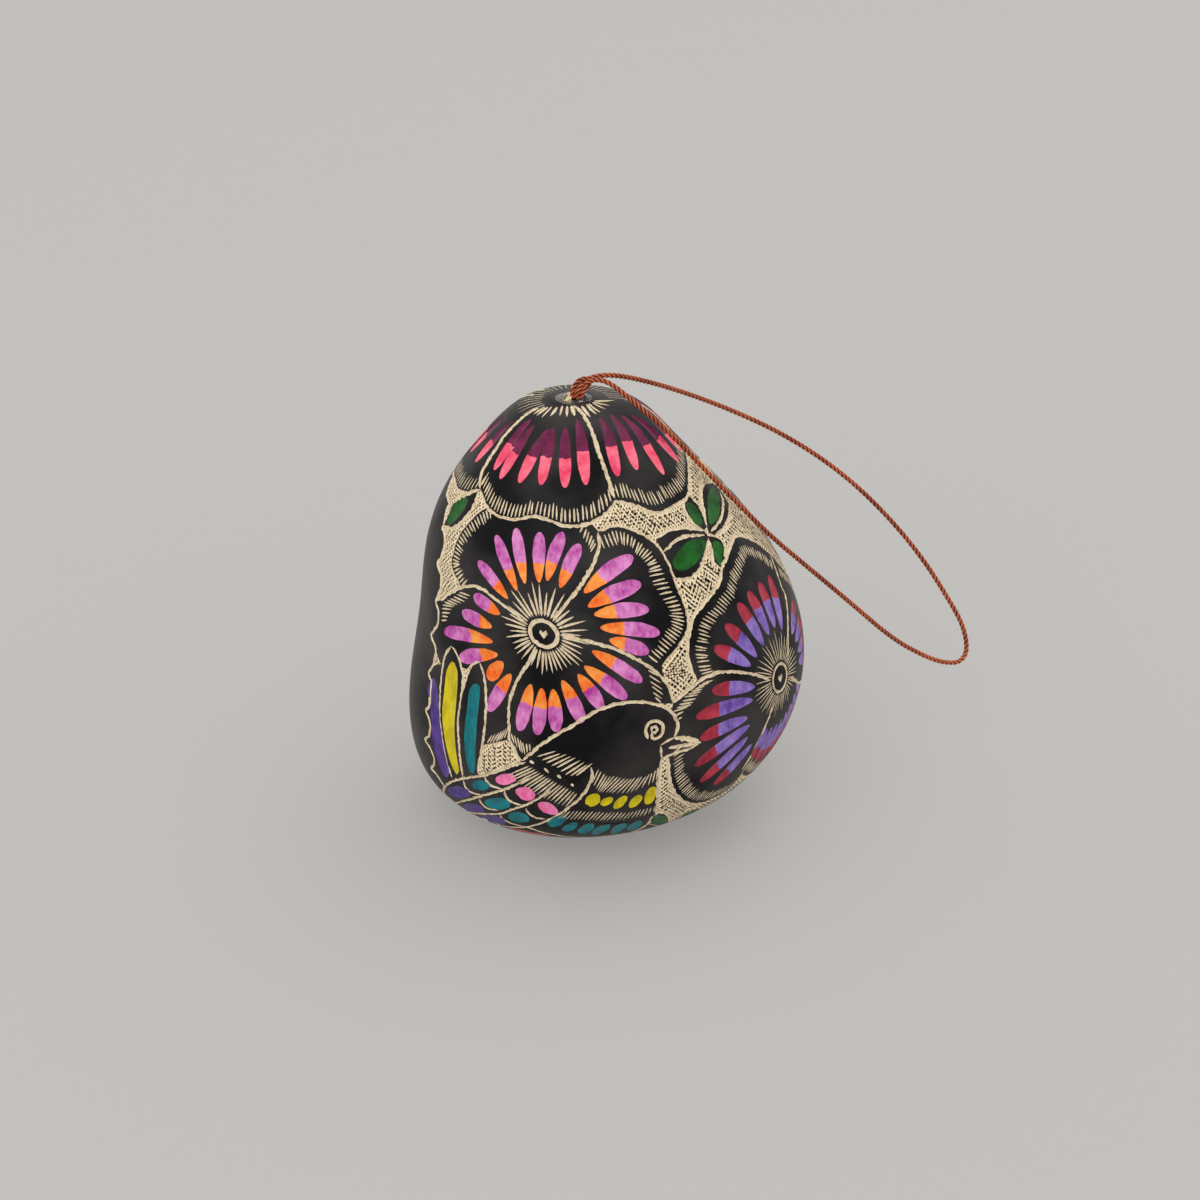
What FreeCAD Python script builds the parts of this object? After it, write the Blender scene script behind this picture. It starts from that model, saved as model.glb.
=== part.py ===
"""A small carved gourd that hangs from a loop of waxed cord, in millimetres, +Z up, front at -Y.

The origin is on the table, under the middle of the gourd. The gourd is a hollow dried shell that leans a
little to the left as it rises. Its stem scar is drilled, and a twisted cord goes down the hole, tied above
and below it, with a wooden peg and a drop of glue that hold it fast.
"""

import math
import os

import FreeCAD
import Part

Vector = FreeCAD.Vector

# The gourd
gourd_height = 65.8
belly_radius = 30.0
rest_radius = 9.5  # the flat underside that the gourd stands on
scar_radius = 3.4  # the flat stem scar on the crown
crown_lean = -4.8  # how far the scar lies to the left of the belly
wall = 3.0
# One row for each ring of the gourd between its flat ends: the height as a share of gourd_height, the radius
# as a share of belly_radius and the shift to the left as a share of crown_lean.
ring_shares = (
    (0.030, 0.577, 1.11),
    (0.122, 0.868, 0.61),
    (0.304, 0.998, 0.04),
    (0.486, 0.957, -0.09),
    (0.669, 0.830, 0.37),
    (0.790, 0.668, 0.73),
    (0.912, 0.452, 0.85),
    (0.973, 0.310, 0.86),
    (0.994, 0.180, 0.94),
)
rest_lean_share = 1.20
loft_rings = 25

# The drilled hole, its peg and its glue
hole_diameter = 4.4
hole_forward = 0.6  # the hole was drilled this far in front of the scar's middle
peg_clearance = 0.05
peg_side = 0.25  # the peg's flat side stands this far to the left of the hole's middle
peg_back = 0.9  # and its flat back this far behind it
peg_stand = 0.7  # above the scar
peg_reach = 0.6  # below the wall, inside the cavity
peg_taper = 0.3
peg_slant = 24.0  # degrees, the cut across the peg's top
glue_radius = 2.7
glue_height = 0.5
glue_depth = 1.6

# The cord
cord_diameter = 0.8
cord_clearance = 0.05
strand_right = 0.30  # where the two strands pass, from the hole's middle, the front one first
strand_front = -1.00
knot_foot = Vector(0.45, -0.75, 0.45)  # the ends of the knot's axis, from the hole's middle
knot_head = Vector(1.85, 0.25, 2.40)
knot_radius = 1.30
knot_neck_radius = 0.85
knot_waist_radius = 1.10
knot_bulge_share = 0.25  # where the two bulges lie along the knot, from either end
stopper_radius = 2.6
stopper_waist_radius = 2.2
stopper_length = 4.2
stopper_gap = 0.2

# The loop's route: the corners of its straight runs, chosen by hand, from the near strand's start, down
# over the right shoulder, round the far end and back above it.
loop_points = (
    (-2.15, -0.60, 68.60),
    (-0.30, -1.00, 68.70),
    (1.70, -1.90, 67.70),
    (5.10, -3.30, 65.20),
    (9.80, -3.90, 61.10),
    (15.30, -4.10, 54.90),
    (20.20, -3.70, 49.50),
    (24.60, -1.90, 44.20),
    (30.50, 0.90, 37.90),
    (37.60, 4.00, 30.40),
    (44.80, 6.90, 22.70),
    (50.50, 9.00, 18.50),
    (53.60, 10.10, 16.90),
    (56.30, 11.20, 16.35),
    (57.60, 12.30, 17.90),
    (56.90, 13.60, 21.50),
    (54.80, 15.00, 25.10),
    (49.90, 17.00, 32.40),
    (43.10, 18.60, 40.10),
    (35.60, 19.00, 46.90),
    (26.90, 17.60, 53.20),
    (17.60, 14.00, 58.90),
    (9.80, 8.60, 63.80),
    (4.00, 3.60, 67.30),
    (0.20, 0.90, 68.85),
    (-2.15, 0.35, 68.65),
)
arc_share = 0.45  # of the shorter run beside a corner, the part that its arc takes up

# The seeds
seed_length = 10.0
seed_width = 5.0
seed_thickness = 1.8
seed_tip_radius = 0.9
seed_edge = 0.6
seed_gap = 0.4
seeds_below = 3
seeds_above = 2

scar = Vector(crown_lean, 0, gourd_height)
hole = scar - Vector(0, hole_forward, 0)
hole_radius = hole_diameter / 2
strand_places = (strand_front, strand_front + cord_diameter + cord_clearance)


def spline_through(points):
    """A smooth curve through points."""
    curve = Part.BSplineCurve()
    curve.interpolate(points)
    return curve


def gourd_form(height, radius, foot_radius, top_radius, base):
    """The gourd's solid form, as a loft through circles whose middles follow the lean."""
    rows = [(0, foot_radius, rest_lean_share * crown_lean)]
    rows += [(h * height, r * radius, s * crown_lean) for h, r, s in ring_shares]
    rows.append((height, top_radius, crown_lean))
    guide = spline_through([Vector(*row) for row in rows])
    first, last = guide.FirstParameter, guide.LastParameter
    rings = []
    for i in range(loft_rings):
        h, r, x = guide.value(first + (last - first) * i / (loft_rings - 1))
        circle = Part.Circle(Vector(x, 0, base + h), Vector(0, 0, 1), r)
        rings.append(Part.Wire(circle.toShape()))
    return Part.makeLoft(rings, True)


def gourd_shell():
    """The dried shell: its cavity keeps the outer form, and the stem hole goes through the crown."""
    outer = gourd_form(gourd_height, belly_radius, rest_radius, scar_radius, 0)
    inner = gourd_form(
        gourd_height - 2 * wall,
        belly_radius - wall,
        rest_radius - wall,
        scar_radius,
        wall,
    )
    drill = Part.makeCylinder(hole_radius, 3 * wall, hole - Vector(0, 0, 2 * wall))
    return outer.cut(inner).cut(drill)


def stem_peg():
    """A tapered peg split from a round one, in the left front of the hole, its top cut off at a slant."""
    length = peg_stand + wall + peg_reach
    top_radius = hole_radius - peg_clearance
    foot = hole + Vector(0, 0, peg_stand - length)
    cone = Part.makeCone(top_radius - peg_taper, top_radius, length, foot)
    corner = foot + Vector(-hole_diameter, -hole_diameter, 0)
    kept = Part.makeBox(hole_diameter - peg_side, hole_diameter + peg_back, length, corner)
    above = Part.makeBox(2 * hole_diameter, 2 * hole_diameter, length, corner + Vector(0, 0, length))
    above.rotate(hole + Vector(-peg_side, 0, peg_stand), Vector(0, 1, 0), -peg_slant)
    return cone.common(kept).cut(above)


def strand(place, low, high, radius):
    """One straight strand of the cord in the hole, between two heights above the scar."""
    return Part.makeCylinder(radius, high - low, hole + Vector(strand_right, place, low))


def bulged_knot(foot, head, neck, bulge, waist):
    """A tied knot's outer form: two rounded turns side by side, with a neck at each end."""
    length = (head - foot).Length
    low, high = Vector(0, 0, 0), Vector(0, 0, length)
    neck_low, neck_high, middle = Vector(neck, 0, 0), Vector(neck, 0, length), Vector(waist, 0, length / 2)
    bulge_low = Vector(bulge, 0, knot_bulge_share * length)
    bulge_high = Vector(bulge, 0, length - bulge_low.z)
    edges = [
        Part.LineSegment(low, neck_low),
        Part.Arc(neck_low, bulge_low, middle),
        Part.Arc(middle, bulge_high, neck_high),
        Part.LineSegment(neck_high, high),
        Part.LineSegment(high, low),
    ]
    face = Part.Face(Part.Wire([edge.toShape() for edge in edges]))
    knot = face.revolve(low, high, 360)
    knot.Placement = FreeCAD.Placement(foot, FreeCAD.Rotation(Vector(0, 0, 1), head - foot))
    return knot


def outer_knot(spare=0.0):
    """The overhand knot of both strands at the hole's mouth, with spare room round it where asked."""
    return bulged_knot(
        hole + knot_foot,
        hole + knot_head,
        knot_neck_radius + spare,
        knot_radius + spare,
        knot_waist_radius + spare,
    )


def stopper_knot():
    """The larger knot under the peg's end, which can't pass the hole."""
    head = hole - Vector(0, 0, wall + peg_reach + stopper_gap)
    foot = head - Vector(0, 0, stopper_length)
    return bulged_knot(foot, head, stopper_waist_radius, stopper_radius, stopper_waist_radius)


def cord_tail():
    """The two strands between the knots."""
    low = -wall - peg_reach - stopper_gap
    high = knot_foot.z + knot_neck_radius
    strands = [strand(place, low, high, cord_diameter / 2) for place in strand_places]
    return Part.makeCompound([one.cut(outer_knot()) for one in strands])


def glue_drop():
    """A low dome of glue on the scar that also fills the top of the hole round the peg and the strands."""
    top, rim = Vector(0, 0, glue_height), Vector(glue_radius, 0, 0)
    ball_radius = (glue_radius**2 + glue_height**2) / (2 * glue_height)
    half_turn = math.asin(glue_radius / ball_radius) / 2
    centre = Vector(0, 0, glue_height - ball_radius)
    crest = centre + Vector(ball_radius * math.sin(half_turn), 0, ball_radius * math.cos(half_turn))
    mouth, foot = Vector(hole_radius, 0, 0), Vector(hole_radius, 0, -glue_depth)
    middle = Vector(0, 0, -glue_depth)
    edges = [
        Part.Arc(rim, crest, top),
        Part.LineSegment(top, middle),
        Part.LineSegment(middle, foot),
        Part.LineSegment(foot, mouth),
        Part.LineSegment(mouth, rim),
    ]
    face = Part.Face(Part.Wire([edge.toShape() for edge in edges]))
    glue = face.revolve(middle, top, 360)
    glue.translate(hole)
    glue = glue.cut(stem_peg()).cut(outer_knot(cord_clearance))
    for place in strand_places:
        glue = glue.cut(strand(place, -2 * glue_depth, wall, cord_diameter / 2 + cord_clearance))
    return max(glue.Solids, key=lambda solid: solid.Volume)


def rounded_wire(points, diameter):
    """Straight runs between points with a tangent arc at each corner, and the wire's length."""
    edges, radii, length = [], [], 0.0
    start = points[0]
    for before, corner, after in zip(points, points[1:], points[2:]):
        back, ahead = before - corner, after - corner
        cut = arc_share * min(back.Length, ahead.Length)
        turn = math.pi - back.getAngle(ahead)
        radii.append(cut / math.tan(turn / 2))
        back.normalize()
        ahead.normalize()
        middle = (back + ahead).normalize()
        arc_start, arc_end = corner + back * cut, corner + ahead * cut
        inset = radii[-1] / math.cos(turn / 2) - radii[-1]
        edges.append(Part.LineSegment(start, arc_start).toShape())
        edges.append(Part.Arc(arc_start, corner + middle * inset, arc_end).toShape())
        length += (arc_start - start).Length + radii[-1] * turn
        start = arc_end
    edges.append(Part.LineSegment(start, points[-1]).toShape())
    length += (points[-1] - start).Length
    print("loop radii", [round(r, 1) for r in radii])
    print("smallest radius", round(min(radii) / diameter, 1), "diameters")
    return Part.Wire(edges), length


def hanging_loop():
    """The free loop, a round tube along its route."""
    points = [Vector(*point) for point in loop_points]
    path, length = rounded_wire(points, cord_diameter)
    section = Part.Circle(points[0], points[1] - points[0], cord_diameter / 2).toShape()
    tube = path.makePipe(Part.Face(Part.Wire(section)))
    expected = math.pi * cord_diameter**2 / 4 * length
    print("loop length", round(length, 1), "volume", round(tube.Volume, 2), "expected", round(expected, 2))
    return tube


def seed():
    """One flat seed, pointed at its stem end, lying along Y with its middle at the origin."""
    tip = Vector(0, seed_length / 2 - seed_tip_radius, 0)
    round_radius = seed_width / 2
    heel = Vector(0, round_radius - seed_length / 2, 0)
    spread = math.asin((round_radius - seed_tip_radius) / (tip - heel).Length)
    out = Vector(math.cos(spread), math.sin(spread), 0)
    mirrored = Vector(-out.x, out.y, 0)
    tip_right, tip_left = tip + out * seed_tip_radius, tip + mirrored * seed_tip_radius
    heel_right, heel_left = heel + out * round_radius, heel + mirrored * round_radius
    edges = [
        Part.Arc(tip_right, tip + Vector(0, seed_tip_radius, 0), tip_left),
        Part.LineSegment(tip_left, heel_left),
        Part.Arc(heel_left, heel - Vector(0, round_radius, 0), heel_right),
        Part.LineSegment(heel_right, tip_right),
    ]
    outline = Part.Face(Part.Wire([edge.toShape() for edge in edges]))
    flat = outline.extrude(Vector(0, 0, seed_thickness))
    flat.translate(Vector(0, 0, -seed_thickness / 2))
    return flat.makeChamfer(seed_edge, flat.Edges)


def gourd_seeds():
    """Loose seeds on the cavity's floor: a row below, and a row across it."""
    floor = Vector(rest_lean_share * crown_lean, 0, wall)
    layer = seed_thickness + seed_gap
    pitch = seed_width + seed_gap
    seeds = []
    for i in range(seeds_below):
        one = seed()
        one.rotate(Vector(0, 0, 0), Vector(0, 0, 1), 180 * (i % 2))
        one.translate(floor + Vector((i - (seeds_below - 1) / 2) * pitch, 0, layer - seed_thickness / 2))
        seeds.append(one)
    for i in range(seeds_above):
        one = seed()
        one.rotate(Vector(0, 0, 0), Vector(0, 0, 1), 90 + 180 * (i % 2))
        one.translate(floor + Vector(0, (i - (seeds_above - 1) / 2) * pitch, 2 * layer - seed_thickness / 2))
        seeds.append(one)
    return Part.makeCompound(seeds)


nodes = {
    "gourd_shell": gourd_shell(),
    "stem_peg": stem_peg(),
    "glue_drop": glue_drop(),
    "outer_knot": outer_knot(),
    "cord_tail": cord_tail(),
    "stopper_knot": stopper_knot(),
    "gourd_seeds": gourd_seeds(),
    "hanging_loop": hanging_loop(),
}

os.makedirs("parts", exist_ok=True)
for name, shape in nodes.items():
    shape.exportStep(os.path.join("parts", name + ".step"))
    box = shape.BoundBox
    print(
        name,
        "solids",
        len(shape.Solids),
        "valid",
        shape.isValid(),
        "volume",
        round(shape.Volume, 2),
        "box",
        [round(v, 2) for v in (box.XMin, box.YMin, box.ZMin, box.XMax, box.YMax, box.ZMax)],
    )
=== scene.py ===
# %% [markdown]
# # A carved gourd on a loop of waxed cord
# The real thing is a small dried gourd, stained black, carved through its skin and coloured. This file
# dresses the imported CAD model. First the model is loaded: every later piece takes its place from it.

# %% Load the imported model
import math
import random
from collections import Counter

import bmesh
import bpy
import numpy as np
from mathutils import Matrix, Vector
from mathutils.bvhtree import BVHTree
from mathutils.geometry import delaunay_2d_cdt
from mathutils.kdtree import KDTree


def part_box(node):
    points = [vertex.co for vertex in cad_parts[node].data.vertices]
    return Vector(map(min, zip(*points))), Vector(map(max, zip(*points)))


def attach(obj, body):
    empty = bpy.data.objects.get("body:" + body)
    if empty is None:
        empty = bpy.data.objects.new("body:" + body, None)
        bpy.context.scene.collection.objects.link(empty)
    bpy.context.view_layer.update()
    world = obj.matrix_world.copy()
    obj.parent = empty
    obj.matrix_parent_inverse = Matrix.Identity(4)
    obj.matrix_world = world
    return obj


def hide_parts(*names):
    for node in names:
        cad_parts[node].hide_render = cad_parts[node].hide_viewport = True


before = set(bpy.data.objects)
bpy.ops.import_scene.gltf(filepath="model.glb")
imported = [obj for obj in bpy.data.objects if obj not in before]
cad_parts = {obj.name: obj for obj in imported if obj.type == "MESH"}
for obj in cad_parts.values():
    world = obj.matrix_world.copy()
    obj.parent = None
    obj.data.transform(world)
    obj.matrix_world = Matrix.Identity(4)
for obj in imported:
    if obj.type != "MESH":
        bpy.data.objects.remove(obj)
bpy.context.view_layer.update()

mm = 0.001
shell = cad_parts["gourd_shell"]

# %% [markdown]
# ## The camera
# A photograph is matched first by where its camera stood. This one looked 26 degrees down at the front of
# the gourd through a fairly long lens, so the far side of the crown just shows. The camera comes before the
# pieces because the carving is later drawn through it.

# %% Camera at the photograph's angle
photo_size = 1200
focal_pixels = 2310
sensor_width = 36
camera_reach = 350 * mm
camera_tilt = math.radians(26)
aim = Vector((-0.93, 0, 32.9)) * mm

camera_turn = Matrix.Rotation(math.pi / 2 - camera_tilt, 3, "X")
camera_data = bpy.data.cameras.new("camera")
camera_data.sensor_width = sensor_width
camera_data.lens = sensor_width * focal_pixels / photo_size
camera_data.clip_start, camera_data.clip_end = 0.01, 10
camera = bpy.data.objects.new("camera", camera_data)
camera.location = aim + camera_reach * Vector((0, -math.cos(camera_tilt), math.sin(camera_tilt)))
camera.rotation_euler = (math.pi / 2 - camera_tilt, 0, 0)
bpy.context.scene.collection.objects.link(camera)
bpy.context.scene.camera = camera
bpy.context.scene.view_settings.view_transform = "Standard"
print("camera at", camera.location)

# %% [markdown]
# ## Floor and light
# The photograph was taken on pale cloth in soft light. The floor is one wide plane. What the camera sees of
# it is set apart from what lights the gourd, so the floor can be as pale as the cloth and still keep the
# shadow.


# %% Small helpers for objects and materials
def add_object(name, data):
    """Links new data to the scene as an object at the origin."""
    made = bpy.data.objects.new(name, data)
    bpy.context.scene.collection.objects.link(made)
    return made


def set_up(made, values):
    """Sets up a node. Names in capitals are its inputs, with _ for a space, and the others its properties."""
    for name, value in values.items():
        if name[0].isupper():
            made.inputs[name.replace("_", " ")].default_value = value
        else:
            setattr(made, name, value)
    return made


def node(tree, kind, **values):
    return set_up(tree.nodes.new(kind), values)


def new_material(name, **values):
    """A material, its node tree and its Principled shader, with values on the shader's own sockets."""
    material = bpy.data.materials.new(name)
    material.use_nodes = True
    tree = material.node_tree
    return material, tree, set_up(tree.nodes["Principled BSDF"], values)


def srgb(red, green, blue):
    """A colour read off a screen, from 0 to 255, as the linear colour that a shader takes."""
    def linear(value):
        share = value / 255
        return share / 12.92 if share <= 0.04045 else ((share + 0.055) / 1.055) ** 2.4
    return (linear(red), linear(green), linear(blue), 1)


print("middle grey in a shader:", [round(value, 3) for value in srgb(128, 128, 128)])

# %% The floor
floor_reach = 3.0
floor_bmesh = bmesh.new()
bmesh.ops.create_grid(floor_bmesh, x_segments=1, y_segments=1, size=floor_reach)
floor_data = bpy.data.meshes.new("floor")
floor_bmesh.to_mesh(floor_data)
floor_bmesh.free()
add_object("floor", floor_data)
floor_tone = srgb(191, 189, 186)
shadow_lift = 0.45  # the share of the seen floor that no shadow darkens
material, tree, shader = new_material("pale_floor", Base_Color=floor_tone, Roughness=0.9)
looks = node(tree, "ShaderNodeLightPath")
glow = node(tree, "ShaderNodeEmission", Color=floor_tone)
lifted = node(tree, "ShaderNodeMixShader")
seen_rays = [looks.outputs[kind + " Ray"] for kind in ("Is Camera", "Is Glossy", "Is Transmission")]
share = None
for rays_of_kind in seen_rays:
    taken = node(tree, "ShaderNodeMath", operation="MULTIPLY_ADD", use_clamp=True)
    tree.links.new(rays_of_kind, taken.inputs[0])
    taken.inputs[1].default_value, taken.inputs[2].default_value = shadow_lift, 0.0
    if share:
        tree.links.new(share, taken.inputs[2])
    share = taken.outputs[0]
tree.links.new(share, lifted.inputs[0])
tree.links.new(shader.outputs[0], lifted.inputs[1])
tree.links.new(glow.outputs[0], lifted.inputs[2])
tree.links.new(lifted.outputs[0], tree.nodes["Material Output"].inputs["Surface"])
floor_data.materials.append(material)
print("floor", floor_reach * 2, "m wide")


# %% Lamps and sky
def add_lamp(name, place, size, power):
    """A square area lamp at a place and of a size in metres, turned to the gourd, with its power in watts."""
    data = bpy.data.lights.new(name, "AREA")
    data.shape, data.size, data.energy = "SQUARE", size, power
    lamp = add_object(name, data)
    lamp.location = place
    lamp.rotation_euler = (aim - Vector(place)).to_track_quat("-Z", "Y").to_euler()


add_lamp("window", (0.5, 0.7, 1.5), 1.2, 4.6)
add_lamp("room", (-0.6, -1.3, 1.1), 1.3, 8)
world = bpy.data.worlds.new("soft_sky")
world.use_nodes = True
set_up(world.node_tree.nodes["Background"], {"Color": srgb(248, 247, 245), "Strength": 0.88})
bpy.context.scene.world = world

# %% [markdown]
# ## The loop of cord
# The loop is one length of waxed cord, 171 mm round, that leaves the knot, drops over the gourd's shoulder
# to the right and turns back at its far end. Its line is a NURBS spline through the route of the CAD tube,
# so it bends as smoothly as real cord. The cord itself is three strands laid round that line.

# %% The route of the loop
loop_route = (  # control points of the CAD tube's route in mm, and two more in the knot at either end
    (-3.75, -1.00, 67.30), (-3.10, -0.95, 68.10), (-2.15, -0.60, 68.60), (-0.30, -1.00, 68.70),
    (1.70, -1.90, 67.70), (5.10, -3.30, 65.20), (9.80, -3.90, 61.10), (15.30, -4.10, 54.90),
    (20.20, -3.70, 49.50), (24.60, -1.90, 44.20), (30.50, 0.90, 37.90), (37.60, 4.00, 30.40),
    (44.80, 6.90, 22.70), (50.50, 9.00, 18.50), (53.60, 10.10, 16.90), (56.30, 11.20, 16.35),
    (57.60, 12.30, 17.90), (56.90, 13.60, 21.50), (54.80, 15.00, 25.10), (49.90, 17.00, 32.40),
    (43.10, 18.60, 40.10), (35.60, 19.00, 46.90), (26.90, 17.60, 53.20), (17.60, 14.00, 58.90),
    (9.80, 8.60, 63.80), (4.00, 3.60, 67.30), (0.20, 0.90, 68.85), (-2.15, 0.35, 68.65), (-3.20, 0.05, 68.20),
    (-3.75, -0.40, 67.40),
)


def curve_mesh(name, curve):
    """The mesh that a curve makes."""
    carrier = add_object(name, curve)
    mesh = bpy.data.meshes.new_from_object(carrier)
    bpy.data.objects.remove(carrier)
    return mesh


def spline_line(name, route):
    """The points of a NURBS line, read from a bare curve's mesh. Its control points are a route in mm."""
    data = bpy.data.curves.new(name, "CURVE")
    data.dimensions, data.resolution_u = "3D", 12
    spline = data.splines.new("NURBS")
    spline.points.add(len(route) - 1)
    for point, place in zip(spline.points, route):
        point.co = (*(Vector(place) * mm), 1)
    spline.order_u = 3
    spline.use_endpoint_u = True
    return np.array([v.co for v in curve_mesh(name, data).vertices])


loop_line = spline_line("loop_line", loop_route)
loop_length = float(np.linalg.norm(np.diff(loop_line, axis=0), axis=1).sum())
print("loop", round(loop_length / mm, 1), "mm long, read at", len(loop_line), "points")

# %% Three strands laid round a line
cord_diameter = 0.8 * mm
strand_count = 3
lay_length = 2.4 * mm  # the cord's length in which a strand goes round once
steps_per_turn = 12
strand_offset = cord_diameter / 2 / (1 + math.sin(math.pi / strand_count))
strand_radius = cord_diameter / 2 - strand_offset
print("each strand is", round(2 * strand_radius / mm, 2), "mm thick")


# %% Even steps and directions along a line
def even_steps(line, step):
    """The same line with its points one step apart."""
    along = np.append(0, np.cumsum(np.linalg.norm(np.diff(line, axis=0), axis=1)))
    marks = np.linspace(0, along[-1], max(2, round(along[-1] / step) + 1))
    return np.stack([np.interp(marks, along, line[:, axis]) for axis in range(3)], 1)


def sideways(line):
    """At each point of a line, two directions across it that turn with it and don't twist."""
    run = np.gradient(line, axis=0)
    run /= np.linalg.norm(run, axis=1)[:, None]
    across = Vector(run[0]).orthogonal().normalized()
    pairs = []
    for step in run:
        step = Vector(step)
        across = (across - step * across.dot(step)).normalized()
        pairs.append((np.array(across), np.array(step.cross(across))))
    return pairs


print("the loop in even steps:", len(even_steps(loop_line, lay_length / steps_per_turn)), "points")


# %% Laying strands along lines
def search_tree(spots):
    """A tree that finds the spot nearest to a place."""
    tree = KDTree(len(spots))
    for i, spot in enumerate(spots):
        tree.insert(spot, i)
    tree.balance()
    return tree


def lay_strands(name, lines, body):
    """Laid cord along lines: three round strands that wind about each, with a map of turns along them."""
    data = bpy.data.curves.new(name, "CURVE")
    data.dimensions, data.bevel_depth, data.bevel_resolution = "3D", strand_radius, 2
    data.use_fill_caps = True
    middles = []
    for line in lines:
        line = even_steps(line, lay_length / steps_per_turn)
        pairs = sideways(line)
        middles.extend(line)
        for strand in range(strand_count):
            spline = data.splines.new("POLY")
            spline.points.add(len(line) - 1)
            for i, (centre, (across, up)) in enumerate(zip(line, pairs)):
                turn = 2 * math.pi * (i / steps_per_turn + strand / strand_count)
                place = centre + strand_offset * (math.cos(turn) * across + math.sin(turn) * up)
                spline.points[i].co = (*place, 1)
    cord = add_object(name, curve_mesh(name + "_line", data))
    strand_map = cord.data.uv_layers[0]
    strand_map.name = "strand_map"
    for corner in strand_map.data:
        corner.uv.y *= len(line) / steps_per_turn
    middle_tree = search_tree(middles)
    # the cord's finish reads this to paint shade where the strands meet and light on their crests
    crest = cord.data.attributes.new("crest", "FLOAT", "POINT")  # 0 where strands meet and 1 at their crests
    for vertex, value in zip(cord.data.vertices, crest.data):
        value.value = (middle_tree.find(vertex.co)[2] - strand_offset) / strand_radius
    for face in cord.data.polygons:
        face.use_smooth = True
    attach(cord, body)
    print(name, len(cord.data.polygons), "faces")
    return cord


# %% The loop's cord
loop_cord = lay_strands("loop_cord", [loop_line], "loop")
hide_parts("hanging_loop")

# %% [markdown]
# ## The knots
# Both ends of the loop go down the hole together, and are knotted above it and below it so that they can't
# slip. The upper knot shows, so its two cords follow the photograph turn by turn: one goes up its left side
# and over its top, the other makes a small bight in front. The ends of the loop come out of the middle of
# the knot, near the hinge, so they stay in it when the loop swings.

# %% The knot above the hole
knot_foot = Vector((-4.75, -1.6, 65.7))  # mm, where the cords leave the hole
knot_turns = (  # mm from the foot to the right, upwards and nearer in the camera's view
    ((0.25, -1.6, -0.8), (0.05, -0.4, -0.3), (-0.20, 0.5, -0.1), (-0.20, 1.3, 0.1), (0.10, 2.15, 0.15),
     (0.65, 2.85, 0.05), (1.35, 3.25, -0.10), (2.05, 3.20, -0.30), (2.35, 2.65, -0.75), (1.85, 2.05, -0.95),
     (1.10, 1.60, -0.75)),
    ((0.25, -1.3, -1.6), (0.35, -0.4, -0.6), (0.35, 0.35, 0.15), (0.45, 1.05, 0.60), (0.80, 1.70, 0.75),
     (1.25, 2.35, 0.60), (1.75, 2.30, 0.35), (1.70, 1.65, 0.45), (1.30, 1.10, 0.50), (0.95, 0.60, 0.20),
     (0.75, 0.25, -0.50), (0.35, 0.90, -1.00), (0.50, 1.90, -1.10), (1.20, 2.60, -0.95), (1.50, 2.10, -0.40)),
)


def in_view(right, up, near):
    """A place, in mm, by its distances from the knot's foot as the camera sees them."""
    return tuple(knot_foot + camera_turn @ Vector((right, up, near)))


knot_lines = [spline_line("knot_line", [in_view(*place) for place in turns]) for turns in knot_turns]
crown_knot = lay_strands("crown_knot", knot_lines, "gourd")
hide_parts("outer_knot")

# %% The two cords in the hole and the knot below it
cord_half = cord_diameter / mm / 2
tail_low, tail_high = (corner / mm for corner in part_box("cord_tail"))
tail_places = [(tail_low.x + cord_half, y) for y in (tail_low.y + cord_half, tail_high.y - cord_half)]
tail_top = knot_foot.z - cord_half
tail_lines = [np.array([(x, y, tail_low.z), (x, y, tail_top)]) * mm for x, y in tail_places]
tail_cords = lay_strands("tail_cords", tail_lines, "gourd")
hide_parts("cord_tail")

stopper_low, stopper_high = (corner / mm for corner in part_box("stopper_knot"))
stopper_middle = (stopper_low + stopper_high) / 2
turn_radius, turn_points, turn_count = 2.15, 12, 2.0
lead_above, lead_inside, turn_margin = 0.2, 0.8, 0.6  # mm over the top, over the middle, under the top
turns_height = stopper_high.z - stopper_low.z - 2 * turn_margin
stopper_lines = []
for half_turn, (x, y) in enumerate(tail_places):
    turns = [(x, y, stopper_high.z + lead_above), (x, y, stopper_middle.z + lead_inside),
             tuple(stopper_middle)]
    for i in range(round(turn_count * turn_points) + 1):
        angle = 2 * math.pi * i / turn_points + math.pi * half_turn
        turns.append((stopper_middle.x + turn_radius * math.cos(angle),
                      stopper_middle.y + turn_radius * math.sin(angle),
                      stopper_middle.z + (i / turn_points / turn_count - 0.5) * turns_height))
    turns.append((x, y, stopper_high.z - turn_margin))
    stopper_lines.append(spline_line("stopper_line", turns))
stopper = lay_strands("stopper_turns", stopper_lines, "gourd")
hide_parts("stopper_knot")

# %% [markdown]
# ## The carved skin
# A carver cuts through the black skin into the pale shell with a small burin, and then dyes some of the
# cuts. The cuts are real geometry here, a quarter of a millimetre deep. A texture could paint them, but
# their edges would blur and the light wouldn't catch in them. So the drawing is laid flat on a map of the
# gourd, triangulated there with its edges kept, and folded back up. Every colour is then its own material.

# %% The gourd's form, read from the CAD shell
hole_place, hole_radius = (-4.8, -0.6), 2.2  # mm, as everything drawn on the gourd is
scar_place, scar_radius = (-4.8, 0.0), 3.4
rest_place, rest_radius = (-5.76, 0.0), 9.5
crown_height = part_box("gourd_shell")[1].z / mm
form_middle = (-2.0, 0.0, 33.0)
fine_step, ease_steps, rays_per_side = 0.1, 15, 300
well_outside = 100  # mm from the gourd's middle
shell_tree = BVHTree.FromPolygons([v.co / mm for v in shell.data.vertices],
                                  [tuple(p.vertices) for p in shell.data.polygons])


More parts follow.
